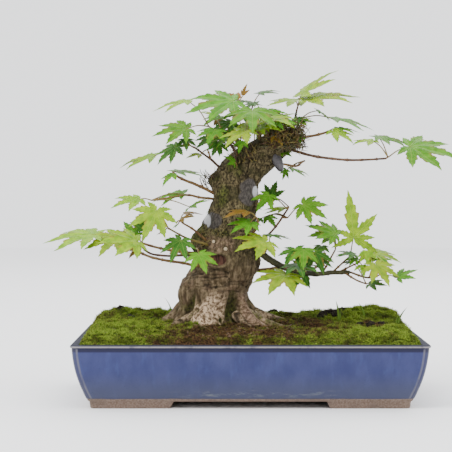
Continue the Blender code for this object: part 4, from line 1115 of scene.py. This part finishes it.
red_twig = twig_finish("red_twig", (0.030, 0.014, 0.007), (0.115, 0.062, 0.032))
olive_twig = twig_finish("olive_twig", (0.018, 0.019, 0.007), (0.080, 0.074, 0.030))
yellow_twig = twig_finish("yellow_twig", (0.070, 0.046, 0.010), (0.190, 0.150, 0.040))
twig_of = {"branch_low_right": olive_twig, "branch_back_high": olive_twig, "branch_crown_left": red_twig,
           "branch_low_left_yellow": yellow_twig, "branch_crown_right": olive_twig}
limb_lines = {}
for name, (base_radius, end_radius, route) in branches.items():
    shapes, limb_lines[name] = limb_shapes(route, base_radius, end_radius)
    limb = grown_piece(name.replace("branch_", "limb_"), shapes, [twig_of.get(name, red_twig)])
    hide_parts(name)

# The leafy sprays.
# Each is one shoot with its leaves: thin toothed blades of three, five or seven lobes on slim stalks.
# They are fresh yellow-green at the outside, deeper green inside, and reddish where they have just opened.

# Each lobe's angle from the leaf's axis in degrees, and its length as a share of the middle lobe's. Lists
# that start with the middle lobe give one side, and the other mirrors it; the last gives both sides.
SEVEN = ((0, 1.0), (38, 0.9), (76, 0.7), (116, 0.42))
FIVE = ((0, 1.0), (43, 0.84), (90, 0.5))
THREE = ((0, 1.0), (48, 0.7))
UPRIGHT = ((-108, 0.50), (-60, 0.42), (0, 1.0), (51, 0.73), (94, 0.46), (124, 0.62))
GREEN, LIME = (0.062, 0.200, 0.009), (0.175, 0.300, 0.009)
DARK, RED = (0.022, 0.095, 0.011), (0.180, 0.095, 0.018)

# The limb that each spray grows from, how far along it, the shoot's radius and route; then its leaves:
# where the blade meets its stalk, the tip of its middle lobe, the way it faces, its shape and its colour,
# and where its lobes are slimmer than usual, by how much.
sprays = {
    "crown_left_tip": ("branch_crown_left", 1.00, 0.82, [(-22, -20, 134)], [
        ((-32, -24, 133), (-46, -28, 119), (-0.3, -0.6, 0.7), SEVEN, DARK),
        ((-49, -8, 126), (-76, 2, 117), (-0.2, -0.3, 0.9), FIVE, LIME),
        ((-25, -28, 138), (-24, -38, 129), (0, -0.5, 0.8), FIVE, DARK),
    ]),
    "crown_left_inner": ("branch_crown_left", 0.55, 0.82, [(-9, -18, 131)], [
        ((-14, -24, 127), (-25, -30, 124), (0, -0.4, 0.9), THREE, LIME),
    ]),
    "crown_left_high": ("branch_crown_front", 1.00, 0.82, [(-8, -20, 148)], [
        ((-23, 2, 168), (-51, 6, 160), (0, -0.3, 0.95), FIVE, LIME),
        ((-24, -30, 146), (-50, -33, 140), (-0.1, -0.65, 0.75), SEVEN, GREEN),
    ]),
    "crown_front_left": ("branch_crown_front", 0.60, 0.82, [(2, -30, 142)], [
        ((-3, -38, 145), (-9, -52, 133), (0, -0.6, 0.8), FIVE, GREEN),
        ((-1, -29, 136), (0, -37, 125), (0.2, -0.6, 0.7), FIVE, DARK),
        ((-2, -14, 153), (3, -20, 146), (0, -0.6, 0.8), THREE, RED),
    ]),
    "crown_top_left": ("branch_crown_top", 1.00, 0.82, [(15, -10, 167)], [
        ((10, -20, 167), (-26, -28, 157), (0, -0.6, 0.8), SEVEN, GREEN),
        ((18, -4, 172), (21, -2, 181), (-0.6, -0.7, 0.2), THREE, RED),
        ((14, -2, 169), (2, 8, 174), (-0.2, -0.5, 0.8), THREE, RED),
    ]),
    "crown_front": ("branch_crown_top", 0.40, 0.82, [(26, -28, 152)], [
        ((24, -40, 159), (24, -66, 141), (0, -0.7, 0.7), SEVEN, GREEN),
        ((19, -50, 144), (4, -64, 131), (-0.2, -0.6, 0.7), FIVE, LIME),
        ((17, -28, 137), (14, -33, 127), (-0.1, -0.7, 0.6), THREE, GREEN),
    ]),
    "crown_back": ("branch_crown_top", 0.75, 0.82, [(24, 2, 161)], [
        ((30, 10, 174), (47, 18, 176), (0, -0.2, 0.95), FIVE, DARK),
        ((26, 16, 166), (14, 30, 170), (0, 0, 1), FIVE, DARK),
    ]),
    "crown_right_top": ("branch_crown_right", 1.00, 0.82, [(59, -1, 164)], [
        ((65, 0, 169), (107, 8, 171), (0, -0.25, 0.95), SEVEN, LIME),
        ((62, 6, 173), (91, 16, 192), (-0.5, -0.3, 0.8), FIVE, LIME),
        ((57, -8, 168), (35, -18, 163), (0, -0.3, 0.95), FIVE, LIME),
    ]),
    "crown_right_middle": ("branch_crown_right", 0.50, 0.82, [(62, 0, 155)], [
        ((74, 6, 161), (85, 12, 153), (0.2, -0.4, 0.9), FIVE, GREEN),
        ((86, 10, 155), (118, 18, 146), (0.2, -0.2, 0.95), FIVE, GREEN),
        ((60, -12, 152), (72, -16, 151), (0.1, -0.6, 0.8), FIVE, GREEN),
    ]),
    "apex_front": ("branch_crown_right", 0.40, 0.82, [(50, -20, 153), (47, -26, 147)], [
        ((36, -36, 153), (54, -52, 147), (0, -0.5, 0.85), FIVE, LIME),
        ((30, -32, 146), (45, -44, 144), (0, -0.5, 0.85), FIVE, LIME),
        ((40, -28, 142), (47, -32, 133), (0, -0.8, 0.5), THREE, RED),
    ]),
    "right_high": ("trunk", 0.00, 1.2, [(53, -10, 140), (68, -4, 141), (80, -6, 144), (82, -8, 145)], [
        ((85, -10, 145), (100, -18, 135), (0.1, -0.5, 0.85), FIVE, LIME),
        ((89, -2, 147), (106, 2, 144), (0, -0.3, 0.95), FIVE, GREEN),
    ]),
    "right_long_tip": ("branch_right_long", 1.00, 0.82, [(125, -24, 125)], [
        ((141, -26, 133), (178, -30, 122), (0, -0.6, 0.8), SEVEN, GREEN),
        ((120, -2, 140), (145, 4, 134), (0, -0.3, 0.95), SEVEN, GREEN),
        ((115, -8, 138), (99, -16, 134), (0, -0.3, 0.95), FIVE, LIME),
    ]),
    "right_under": ("trunk", 0.00, 1.0, [(40, -2, 121), (49, 3, 120), (59, 6, 119), (63, 8, 122),
        (65, 10, 123)], [
        ((54, 18, 117), (69, 24, 111), (0.2, -0.3, 0.9), FIVE, GREEN),
        ((51, 14, 116), (48, 16, 108), (-0.1, -0.7, 0.6), FIVE, GREEN),
    ]),
    "middle_right_tip": ("branch_middle_right", 1.00, 0.82, [(52, -9, 88)], [
        ((48, -6, 86), (33, 4, 85), (-0.1, -0.3, 0.95), FIVE, LIME),
        ((39, 12, 95), (44, 18, 108), (0, -0.9, 0.3), FIVE, DARK),
    ]),
    "middle_right_star": ("branch_middle_right", 0.85, 0.82, [(51, -14, 80)], [
        ((62, -22, 90), (80, -28, 79), (0.1, -0.85, 0.5), SEVEN, GREEN),
        ((36, 12, 81), (43, 6, 71), (0, -0.6, 0.7), THREE, GREEN),
        ((31, 14, 79), (27, 9, 73), (0, -0.6, 0.7), THREE, GREEN),
    ]),
    "low_right_inner": ("branch_low_right", 0.22, 0.82, [(37, -30, 59)], [
        ((34, -42, 63), (11, -56, 56), (0, -0.7, 0.7), SEVEN, LIME),
        ((37, -28, 67), (52, -18, 65), (0, -0.2, 0.95), SEVEN, DARK),
    ]),
    "low_right_dark": ("branch_low_right", 0.52, 0.82, [(62, -26, 47)], [
        ((56, -34, 57), (60, -48, 42), (0, -0.6, 0.7), SEVEN, DARK),
        ((70, -24, 51), (84, -30, 43), (0.2, -0.6, 0.7), SEVEN, DARK),
    ]),
    "low_right_under": ("trunk", 0.00, 1.3, [(18, 0, 40), (30, 0, 40), (40, 2, 41), (52, 4, 43),
        (61, 2, 46), (62, 0, 48)], [
        ((61, -4, 43), (55, -10, 23), (-0.1, -0.8, 0.5), SEVEN, DARK),
    ]),
    "low_right_bright": ("branch_low_right", 0.42, 0.82, [(51, -34, 42)], [
        ((48, -42, 39), (35, -66, 25), (0, -0.7, 0.7), SEVEN, LIME),
    ]),
    "low_right_small": ("branch_low_right", 0.66, 0.82, [(79, -14, 52)], [
        ((76, -20, 59), (74, -30, 52), (0, -0.7, 0.7), FIVE, DARK),
    ]),
    "low_right_green": ("branch_low_right", 0.76, 0.82, [(87, -10, 56)], [
        ((85, -14, 67), (64, -8, 74), (0, -0.6, 0.8), SEVEN, GREEN),
    ]),
    "low_right_upright": ("branch_low_right", 0.85, 0.82, [(98, -12, 51)], [
        ((100, -18, 65), (96, -12, 101), (0.1, -0.95, 0.15), UPRIGHT, LIME, 0.74),
    ]),
    "low_right_end_top": ("branch_low_right", 0.90, 0.82, [(104, -12, 46)], [
        ((114, -14, 54), (136, -18, 46), (0.1, -0.4, 0.9), SEVEN, LIME),
        ((109, -28, 56), (109, -36, 45), (0, -0.7, 0.6), THREE, LIME),
        ((101, 0, 52), (88, 6, 51), (0, -0.2, 0.95), FIVE, DARK),
    ]),
    "low_right_end_far": ("branch_low_right", 1.00, 0.82, [(112, -12, 35), (120, -14, 37)], [
        ((133, -16, 35), (149, -12, 41), (0, -0.5, 0.85), FIVE, GREEN),
        ((115, -38, 46), (124, -50, 30), (0.1, -0.7, 0.7), SEVEN, LIME),
    ]),
    "low_right_end_under": ("branch_low_right", 0.95, 0.82, [(103, -18, 33), (109, -24, 31)], [
        ((111, -28, 31), (124, -34, 30), (0, -0.6, 0.8), FIVE, DARK),
        ((100, 4, 46), (92, 8, 44), (0, -0.5, 0.8), THREE, DARK),
    ]),
    "middle_left": ("trunk", 0.00, 1.3, [(5, -6, 95), (-6, -10, 99), (-18, -16, 105),
        (-34, -22, 113), (-35, -22, 114)], [
        ((-32, -18, 114), (-13, -2, 113), (0, -0.3, 0.95), FIVE, GREEN),
        ((-34, -26, 113), (-42, -34, 103), (-0.2, -0.4, 0.9), THREE, GREEN),
    ]),
    "middle_left_long": ("trunk", 0.00, 1.0, [(5, -4, 92), (-6, -7, 94), (-15, -12, 95),
        (-23, -16, 97), (-37, -16, 95), (-51, -14, 93)], [
        ((-27, -12, 98), (-51, -6, 91), (0, -0.4, 0.9), FIVE, GREEN),
        ((-22, -28, 88), (-7, -36, 93), (0.1, -0.5, 0.85), FIVE, GREEN),
        ((-60, -18, 94), (-81, -26, 87), (0, -0.5, 0.85), FIVE, LIME),
    ]),
    "low_left_star": ("branch_low_left_yellow", 1.00, 0.82, [(-38, -32, 73)], [
        ((-46, -40, 86), (-56, -50, 63), (0, -0.8, 0.6), SEVEN, LIME),
        ((-40, -28, 71), (-47, -24, 67), (0, -0.4, 0.9), THREE, RED),
    ]),
    "low_left_red": ("trunk", 0.00, 1.0, [(-6, -14, 60), (-12, -22, 65), (-20, -24, 72),
        (-28, -26, 77), (-29, -26, 78)], [
        ((-29, -30, 79), (-18, -38, 81), (0, -0.6, 0.8), FIVE, RED),
        ((-27, -14, 83), (-12, -12, 82), (0, -0.3, 0.95), THREE, RED),
        ((-31, -24, 75), (-35, -22, 72), (0, -0.5, 0.8), THREE, GREEN),
    ]),
    "low_left_dark": ("branch_low_left_yellow", 0.50, 0.82, [(-24, -34, 65)], [
        ((-28, -42, 64), (-36, -50, 47), (-0.1, -0.8, 0.6), SEVEN, DARK),
    ]),
    "low_left_bright": ("branch_low_left_middle", 0.12, 0.82, [(-17, -36, 58)], [
        ((-15, -51, 54), (-9, -62, 40), (0, -0.8, 0.6), SEVEN, GREEN),
    ]),
    "low_left_tip": ("branch_low_left_middle", 1.00, 0.82, [(-59, -30, 61)], [
        ((-61, -34, 63), (-89, -44, 62), (0, -0.7, 0.7), SEVEN, LIME),
        ((-60, -28, 57), (-67, -34, 50), (0, -0.5, 0.8), THREE, RED),
    ]),
    "low_left_end": ("trunk", 0.00, 1.2, [(-7, -12, 44), (-18, -18, 44), (-26, -22, 46),
        (-38, -22, 48), (-52, -18, 51), (-67, -12, 58), (-72, -10, 61)], [
        ((-95, -4, 67), (-134, 0, 60), (0, -0.35, 0.9), SEVEN, LIME),
        ((-76, -12, 65), (-102, -16, 56), (0, -0.6, 0.8), SEVEN, LIME),
    ]),
    "low_left_mixed": ("trunk", 0.00, 1.2, [(-7, -4, 52), (-18, -8, 53), (-28, -10, 54),
        (-40, -12, 56), (-55, -14, 60), (-58, -14, 61)], [
        ((-64, -8, 66), (-73, 2, 77), (-0.1, -0.7, 0.7), FIVE, GREEN),
        ((-57, -12, 71), (-61, -4, 83), (0, -0.8, 0.5), FIVE, DARK),
    ]),
    "trunk_front": ("trunk", 0.00, 0.9, [(20, -12, 66), (25, -24, 69), (28, -28, 74), (28, -30, 79),
        (27, -30, 81)], [
        ((23, -36, 77), (8, -46, 69), (0, -0.6, 0.8), SEVEN, GREEN),
        ((21, -32, 85), (2, -42, 80), (0, -0.3, 0.95), THREE, RED),
    ]),
    "back_high_left": ("branch_back_high", 1.00, 0.82, [(10, 48, 138)], [
        ((3, 56, 146), (-13, 74, 142), (0, 0.5, 0.85), SEVEN, GREEN),
        ((14, 62, 151), (10, 88, 146), (0, 0.6, 0.8), SEVEN, GREEN),
        ((2, 36, 156), (-14, 50, 162), (-0.1, 0.3, 0.95), SEVEN, LIME),
    ]),
    "back_high_right": ("branch_back_high", 0.60, 0.82, [(27, 40, 136)], [
        ((35, 46, 146), (54, 60, 142), (0.1, 0.5, 0.85), SEVEN, GREEN),
        ((40, 32, 155), (55, 50, 159), (0, 0.3, 0.95), SEVEN, LIME),
        ((27, 46, 157), (29, 76, 155), (0, 0.5, 0.85), SEVEN, GREEN),
    ]),
    "back_low": ("trunk", 0.00, 1.6, [(9, 4, 69), (9, 22, 73), (12, 40, 79), (13, 46, 82)], [
        ((6, 52, 88), (-3, 70, 80), (-0.2, 0.6, 0.8), SEVEN, GREEN),
        ((16, 56, 91), (22, 80, 84), (0.2, 0.6, 0.8), SEVEN, GREEN),
        ((11, 48, 75), (13, 68, 62), (0, 0.8, 0.6), FIVE, DARK),
    ]),
}
leaf_droop, leaf_thick, stalk_radius = 0.16, 0.20, 0.42
large_teeth, small_teeth, widest_side = 5.5, 16.5, 46


def lobe_grid(share, below, above, slender, rows=30, columns=4):
    """One lobe of a leaf one unit long, flat: down its midrib by its first parameter and across by its
    second. It is as wide as the lesser of the wedge out to the lines halfway to its neighbours and a
    lance that swells and draws out to a point, cut by forward teeth. Gives distance out from the stalk
    and distance to the side of the midrib."""
    t = np.linspace(0, 1, rows)[:, None]
    s = np.linspace(-1, 1, 2 * columns + 1)[None]
    tooth = (t * large_teeth + 0.3) % 1
    fine_tooth = (t * small_teeth) % 1
    lance = 0.50 * slender * t**0.5 * (1 - t) ** 1.1
    lance = lance * (1 + 0.55 * (tooth - 0.5) * smooth_step(0.15, 0.4, t) + 0.08 * fine_tooth)
    wedges = [t * math.tan(math.radians(min(side, widest_side))) for side in (below, above)]
    across = s * np.where(s < 0, *(np.minimum(wedge, lance) for wedge in wedges))
    return t * share + 0 * s, across * share


def leaf_shapes(junction, tip, face, lobes, rng, slender):
    """The lobes of one leaf, each a thin closed blade. A point of it hangs below the leaf's plane by the
    square of its distance, is folded up beside its midrib, and rises and falls a little by sines that
    run round and out."""
    junction, tip = np.asarray(junction, float), np.asarray(tip, float)
    axis = tip - junction
    length = np.linalg.norm(axis)
    axis = axis / length
    face = np.asarray(face, float) * (1, 0.72, 1)
    normal = face - axis * np.dot(face, axis)
    normal = normal / np.linalg.norm(normal)
    aside = np.cross(axis, normal)
    both = list(lobes) if lobes[0][0] else [(-a, s) for a, s in reversed(lobes[1:])] + list(lobes)
    phase, ripple, fold = rng.uniform(0, 2 * np.pi), rng.uniform(0.010, 0.022), rng.uniform(0.18, 0.34)
    shapes = []
    for i, (angle, share) in enumerate(both):
        below = (angle - both[i - 1][0]) / 2 if i else widest_side
        above = (both[i + 1][0] - angle) / 2 if i + 1 < len(both) else widest_side
        out, across = lobe_grid(share, below, above, slender)
        turn = math.radians(angle)
        x = out * math.cos(turn) - across * math.sin(turn)
        y = out * math.sin(turn) + across * math.cos(turn)
        far = np.hypot(x, y)
        hang = leaf_droop * (x - far * far)
        waves = ripple * far * (np.sin(9 * far + phase) + np.sin(3 * np.arctan2(y, x) + 2 * phase))
        lift = hang + waves * smooth_step(1.0, 0.7, far) + fold * np.abs(across) * smooth_step(0.0, 0.2, far)
        flat = junction + length * (x[..., None] * axis + y[..., None] * aside + lift[..., None] * normal)
        half = 0.5 * leaf_thick * normal * (0.35 + 0.65 * smooth_step(1.0, 0.6, far))[..., None]
        grid = np.concatenate([flat + half, (flat - half)[:, ::-1]], axis=1)
        along = np.stack([out, np.abs(across), np.full_like(out, share)], -1)
        along = np.concatenate([along, along[:, ::-1]], axis=1)
        kept = along[:, ::-1].reshape(-1, 3)
        shapes.append((skin(grid[:, ::-1]), np.vstack([kept, kept[:1], kept[-1:]])))
    return shapes


def leaf_finish():
    """Thin leaf in its own tint: paler along the midribs and side veins, mottled, red-brown at the rim."""
    made = Finish("leaf", Roughness=0.5, Specular_IOR_Level=0.09)
    tint = made.kept("tint", "Vector")
    out, aside, share = made.parts(made.kept("along", "Vector"))
    midrib = abs(aside).step(0.014, 0.004)
    slant = (out - aside * 1.15) * 13.0 % 1.0
    side_vein = (abs(slant - 0.5)).step(0.10, 0.02) * 0.55 * aside.step(0.0, 0.01)
    vein = midrib.larger(side_vein)
    mottled = made.noise(0.005, 4.0)
    fine = made.noise(0.0009, 2.0)
    shade = made.mix(mottled.step(0.30, 0.70), (0.66, 0.76, 0.50), (1.35, 1.20, 1.05))
    colour = made.multiplied(tint, shade)
    colour = made.mix(fine.step(0.5, 0.7) * 0.08, colour, (0.200, 0.280, 0.045))
    colour = made.mix(vein * 0.38, colour, (0.240, 0.330, 0.060))
    rim = (aside / share).step(0.085, 0.125) * out.step(0.2, 0.5)
    colour = made.mix(rim * mottled.step(0.35, 0.6) * 0.6, colour, (0.190, 0.085, 0.025))
    made.drive("Base Color", colour)
    made.bump(fine * 0.35 + (1 - vein), 0.00025)
    return made


leaf_green = leaf_finish()
stalk_skin = twig_finish("leaf_stalk", (0.100, 0.056, 0.016), (0.190, 0.160, 0.040))
young_shoot = twig_finish("young_shoot", (0.080, 0.038, 0.013), (0.190, 0.115, 0.040))
rng = np.random.default_rng(5)


def stalked_leaf(node, junction, tip, face, lobes, colour, slender=1.0):
    """One leaf and the stalk that carries it from a shoot: the stalk rises a little and thins, and the
    leaf has a tint of its own."""
    junction = np.asarray(junction, float)
    sag = np.array([0, 0, 0.08 * np.linalg.norm(junction - node)])
    into = junction + 0.02 * (np.asarray(tip) - junction)
    stalk = flowing([node, node + 0.5 * (junction - node) + sag, into], 16)
    stalk = skin(bar(stalk, np.linspace(1.25, 0.8, 16) * stalk_radius, 7))
    tint = np.array(colour) * rng.uniform(0.85, 1.15) * rng.uniform(0.92, 1.08, 3)
    blades = leaf_shapes(junction, tip, face, lobes, rng, slender)
    parts = [(stalk, 1, 0 * stalk[0], 0 * stalk[0])]
    return parts + [(blade, 2, along, tint + 0 * along) for blade, along in blades]


def leafy_piece(name, parts):
    """One piece of shoots, stalks and leaves, from parts that each give a shape, its finish's number, and
    where each point lies on its lobe and its tint."""
    shapes, numbers, along, tint = zip(*parts)
    kinds = [np.full(len(side), number) for shape, number in zip(shapes, numbers) for side in shape[1]]
    kept = {"along": np.vstack(along), "tint": np.vstack(tint)}
    return grown_piece(name, shapes, [young_shoot, stalk_skin, leaf_green], kept, np.concatenate(kinds))


for name, (parent, share, radius, route, leaves) in sprays.items():
    if parent != "trunk":
        line = limb_lines[parent]
        at = np.linspace(0, 1, len(line))
        route = [np.array([np.interp(share, at, line[:, k]) for k in range(3)])] + list(route)
    shoot, line = limb_shapes(route, radius, 0.7 * radius, 8.0)
    parts = [(shape, 0, 0 * shape[0], 0 * shape[0]) for shape in shoot]
    for leaf in leaves:
        parts += stalked_leaf(line[-1], *leaf)
    spray = leafy_piece("leaves_" + name, parts)
    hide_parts("spray_" + name)

# The inner leaves and the tangle at the crown.
# Small leaves fill in the shade of the crown and along the low right limb, and a crowd of fine dead and
# living twigs stands on the end of the trunk, where its leader was cut back.

# The point that each bunch grows from, then its leaves, given as for the sprays.
bunches = [
    ((16, -12, 132), [
        ((1.8, -16, 145), (-6, -22, 132), (-0.1, -0.6, 0.8), FIVE, DARK),
        ((8, -22, 151), (-2, -31, 139), (-0.1, -0.6, 0.8), SEVEN, DARK),
        ((15, -20, 158), (10, -34, 147), (0, -0.7, 0.7), FIVE, GREEN),
        ((12, -10, 141), (5, -17, 131), (0, -0.6, 0.8), FIVE, GREEN),
        ((0, -6, 156), (-13, -12, 148), (-0.1, -0.5, 0.85), FIVE, GREEN),
    ]),
    ((30, -12, 138), [
        ((21, -8, 158), (31, -18, 147), (0.1, -0.6, 0.8), SEVEN, DARK),
        ((33, -20, 159), (48, -32, 152), (0, -0.5, 0.85), SEVEN, GREEN),
        ((20, -34, 150), (33, -46, 141), (0.1, -0.7, 0.7), FIVE, LIME),
    ]),
    ((40, -12, 143), [
        ((42, -2, 157), (55, -8, 151), (0.1, -0.5, 0.85), FIVE, DARK),
        ((44, -20, 150), (56, -32, 146), (0, -0.5, 0.85), FIVE, LIME),
        ((28, -2, 166), (14, 4, 160), (-0.1, -0.4, 0.9), FIVE, DARK),
        ((34, 8, 160), (44, 22, 150), (0.1, 0.4, 0.9), SEVEN, GREEN),
    ]),
    ((51, -10, 86), [
        ((37, -18, 97), (27, -25, 84), (-0.1, -0.9, 0.6), FIVE, GREEN),
    ]),
    ((30, -12, 138), [
        ((30, -30, 152), (24, -44, 141), (0, -0.8, 0.7), FIVE, LIME),
    ]),
    ((16, -12, 132), [
        ((-6, -14, 140), (-18, -20, 131), (-0.1, -0.7, 0.75), FIVE, DARK),
    ]),
    ((40, -12, 143), [
        ((36, -24, 154), (60, -28, 148), (0, -0.5, 0.85), FIVE, GREEN),
    ]),
    ((52, -14, 144), [
        ((56, -12, 154), (68, -16, 151), (0, -0.5, 0.85), FIVE, DARK),
    ]),
    ((30, -12, 138), [
        ((29, -42, 147), (45, -48, 144), (0, -0.6, 0.8), THREE, LIME, 0.9),
    ]),
    ((16, -12, 132), [
        ((6, -34, 139), (-12, -38, 134), (0, -0.5, 0.85), FIVE, GREEN, 0.9),
        ((-1, -24, 134), (-6, -30, 125), (0, -0.7, 0.7), FIVE, DARK),
    ]),
    ((13, -18, 119), [
        ((11, -28, 121), (2, -33, 126), (0, -0.8, 0.6), FIVE, GREEN, 0.9),
    ]),
    ((46, -12, 124), [
        ((47, -16, 129), (54, -22, 125), (0, -0.6, 0.7), THREE, GREEN),
    ]),
    ((56, -12, 141), [
        ((59, -18, 141), (60, -24, 134), (0, -0.7, 0.6), THREE, GREEN),
    ]),
    ((87, -10, 56), [
        ((86, -27, 68), (66, -27, 73), (0, -0.7, 0.7), SEVEN, GREEN),
    ]),
    ((62, -26, 47), [
        ((62, -38, 57), (61, -50, 42), (0, -0.7, 0.6), FIVE, GREEN),
        ((70, -30, 55), (77, -38, 38), (0.1, -0.8, 0.5), FIVE, DARK),
        ((58, -36, 46), (61, -56, 37), (0, -0.5, 0.85), SEVEN, DARK),
    ]),
    ((98, -12, 51), [
        ((100, -20, 53), (86, -26, 51), (0, -0.5, 0.85), FIVE, DARK, 0.8),
    ]),
    ((104, -12, 46), [
        ((101, -20, 50), (96, -26, 44), (0, -0.7, 0.6), FIVE, GREEN, 0.9),
        ((109, -22, 53), (112, -32, 45), (0, -0.7, 0.6), FIVE, LIME),
    ]),
    ((112, -12, 35), [
        ((118, -22, 50), (128, -28, 43), (0.1, -0.6, 0.7), FIVE, GREEN, 0.9),
    ]),
    ((104, -12, 46), [
        ((106, -22, 45), (107, -32, 36), (0, -0.7, 0.6), THREE, LIME, 0.9),
    ]),
]
parts = []
for node, leaves in bunches:
    for leaf in leaves:
        parts += stalked_leaf(np.array(node, float), *leaf)
shaded_leaves = leafy_piece("shaded_leaves", parts)

# How many twigs stand in each clump, the corners of the box that they start in, the least and the most
# of the way they point, and the longest one's length.
clumps = [
    (820, (34, -31, 132), (63, -6, 149), (-1.0, -1.0, -0.7), (0.8, 0.3, 0.8), 11.0),
    (70, (8, -22, 120), (30, -12, 132), (-0.7, -0.8, 0.2), (0.4, 0.0, 1.0), 9.0),
    (26, (-12, -10, 100), (-3, -2, 112), (-0.7, -0.6, 0.2), (0.1, 0.1, 1.0), 12.0),
    (26, (-18, -24, 54), (4, -20, 70), (-0.7, -0.8, -0.2), (0.5, 0.0, 0.8), 7.0),
]
rng = np.random.default_rng(8)
tangle = []
for many, low, high, way_low, way_high, longest in clumps:
    for k in range(many):
        start, way = rng.uniform(low, high), rng.uniform(way_low, way_high)
        reach = rng.uniform(0.3 * longest, longest)
        middle = start + 0.5 * reach * way + rng.uniform(-1.4, 1.4, 3)
        line = flowing([start, middle, start + reach * way + rng.uniform(-1.6, 1.6, 3)], 9)
        tangle.append(skin(bar(line, np.linspace(0.42, 0.14, 9), 5)))
owner = np.concatenate([np.full(len(side), k % 3) for k, shape in enumerate(tangle) for side in shape[1]])
crown_twigs = grown_piece("crown_twigs", tangle, [red_twig, olive_twig, yellow_twig], None, owner)
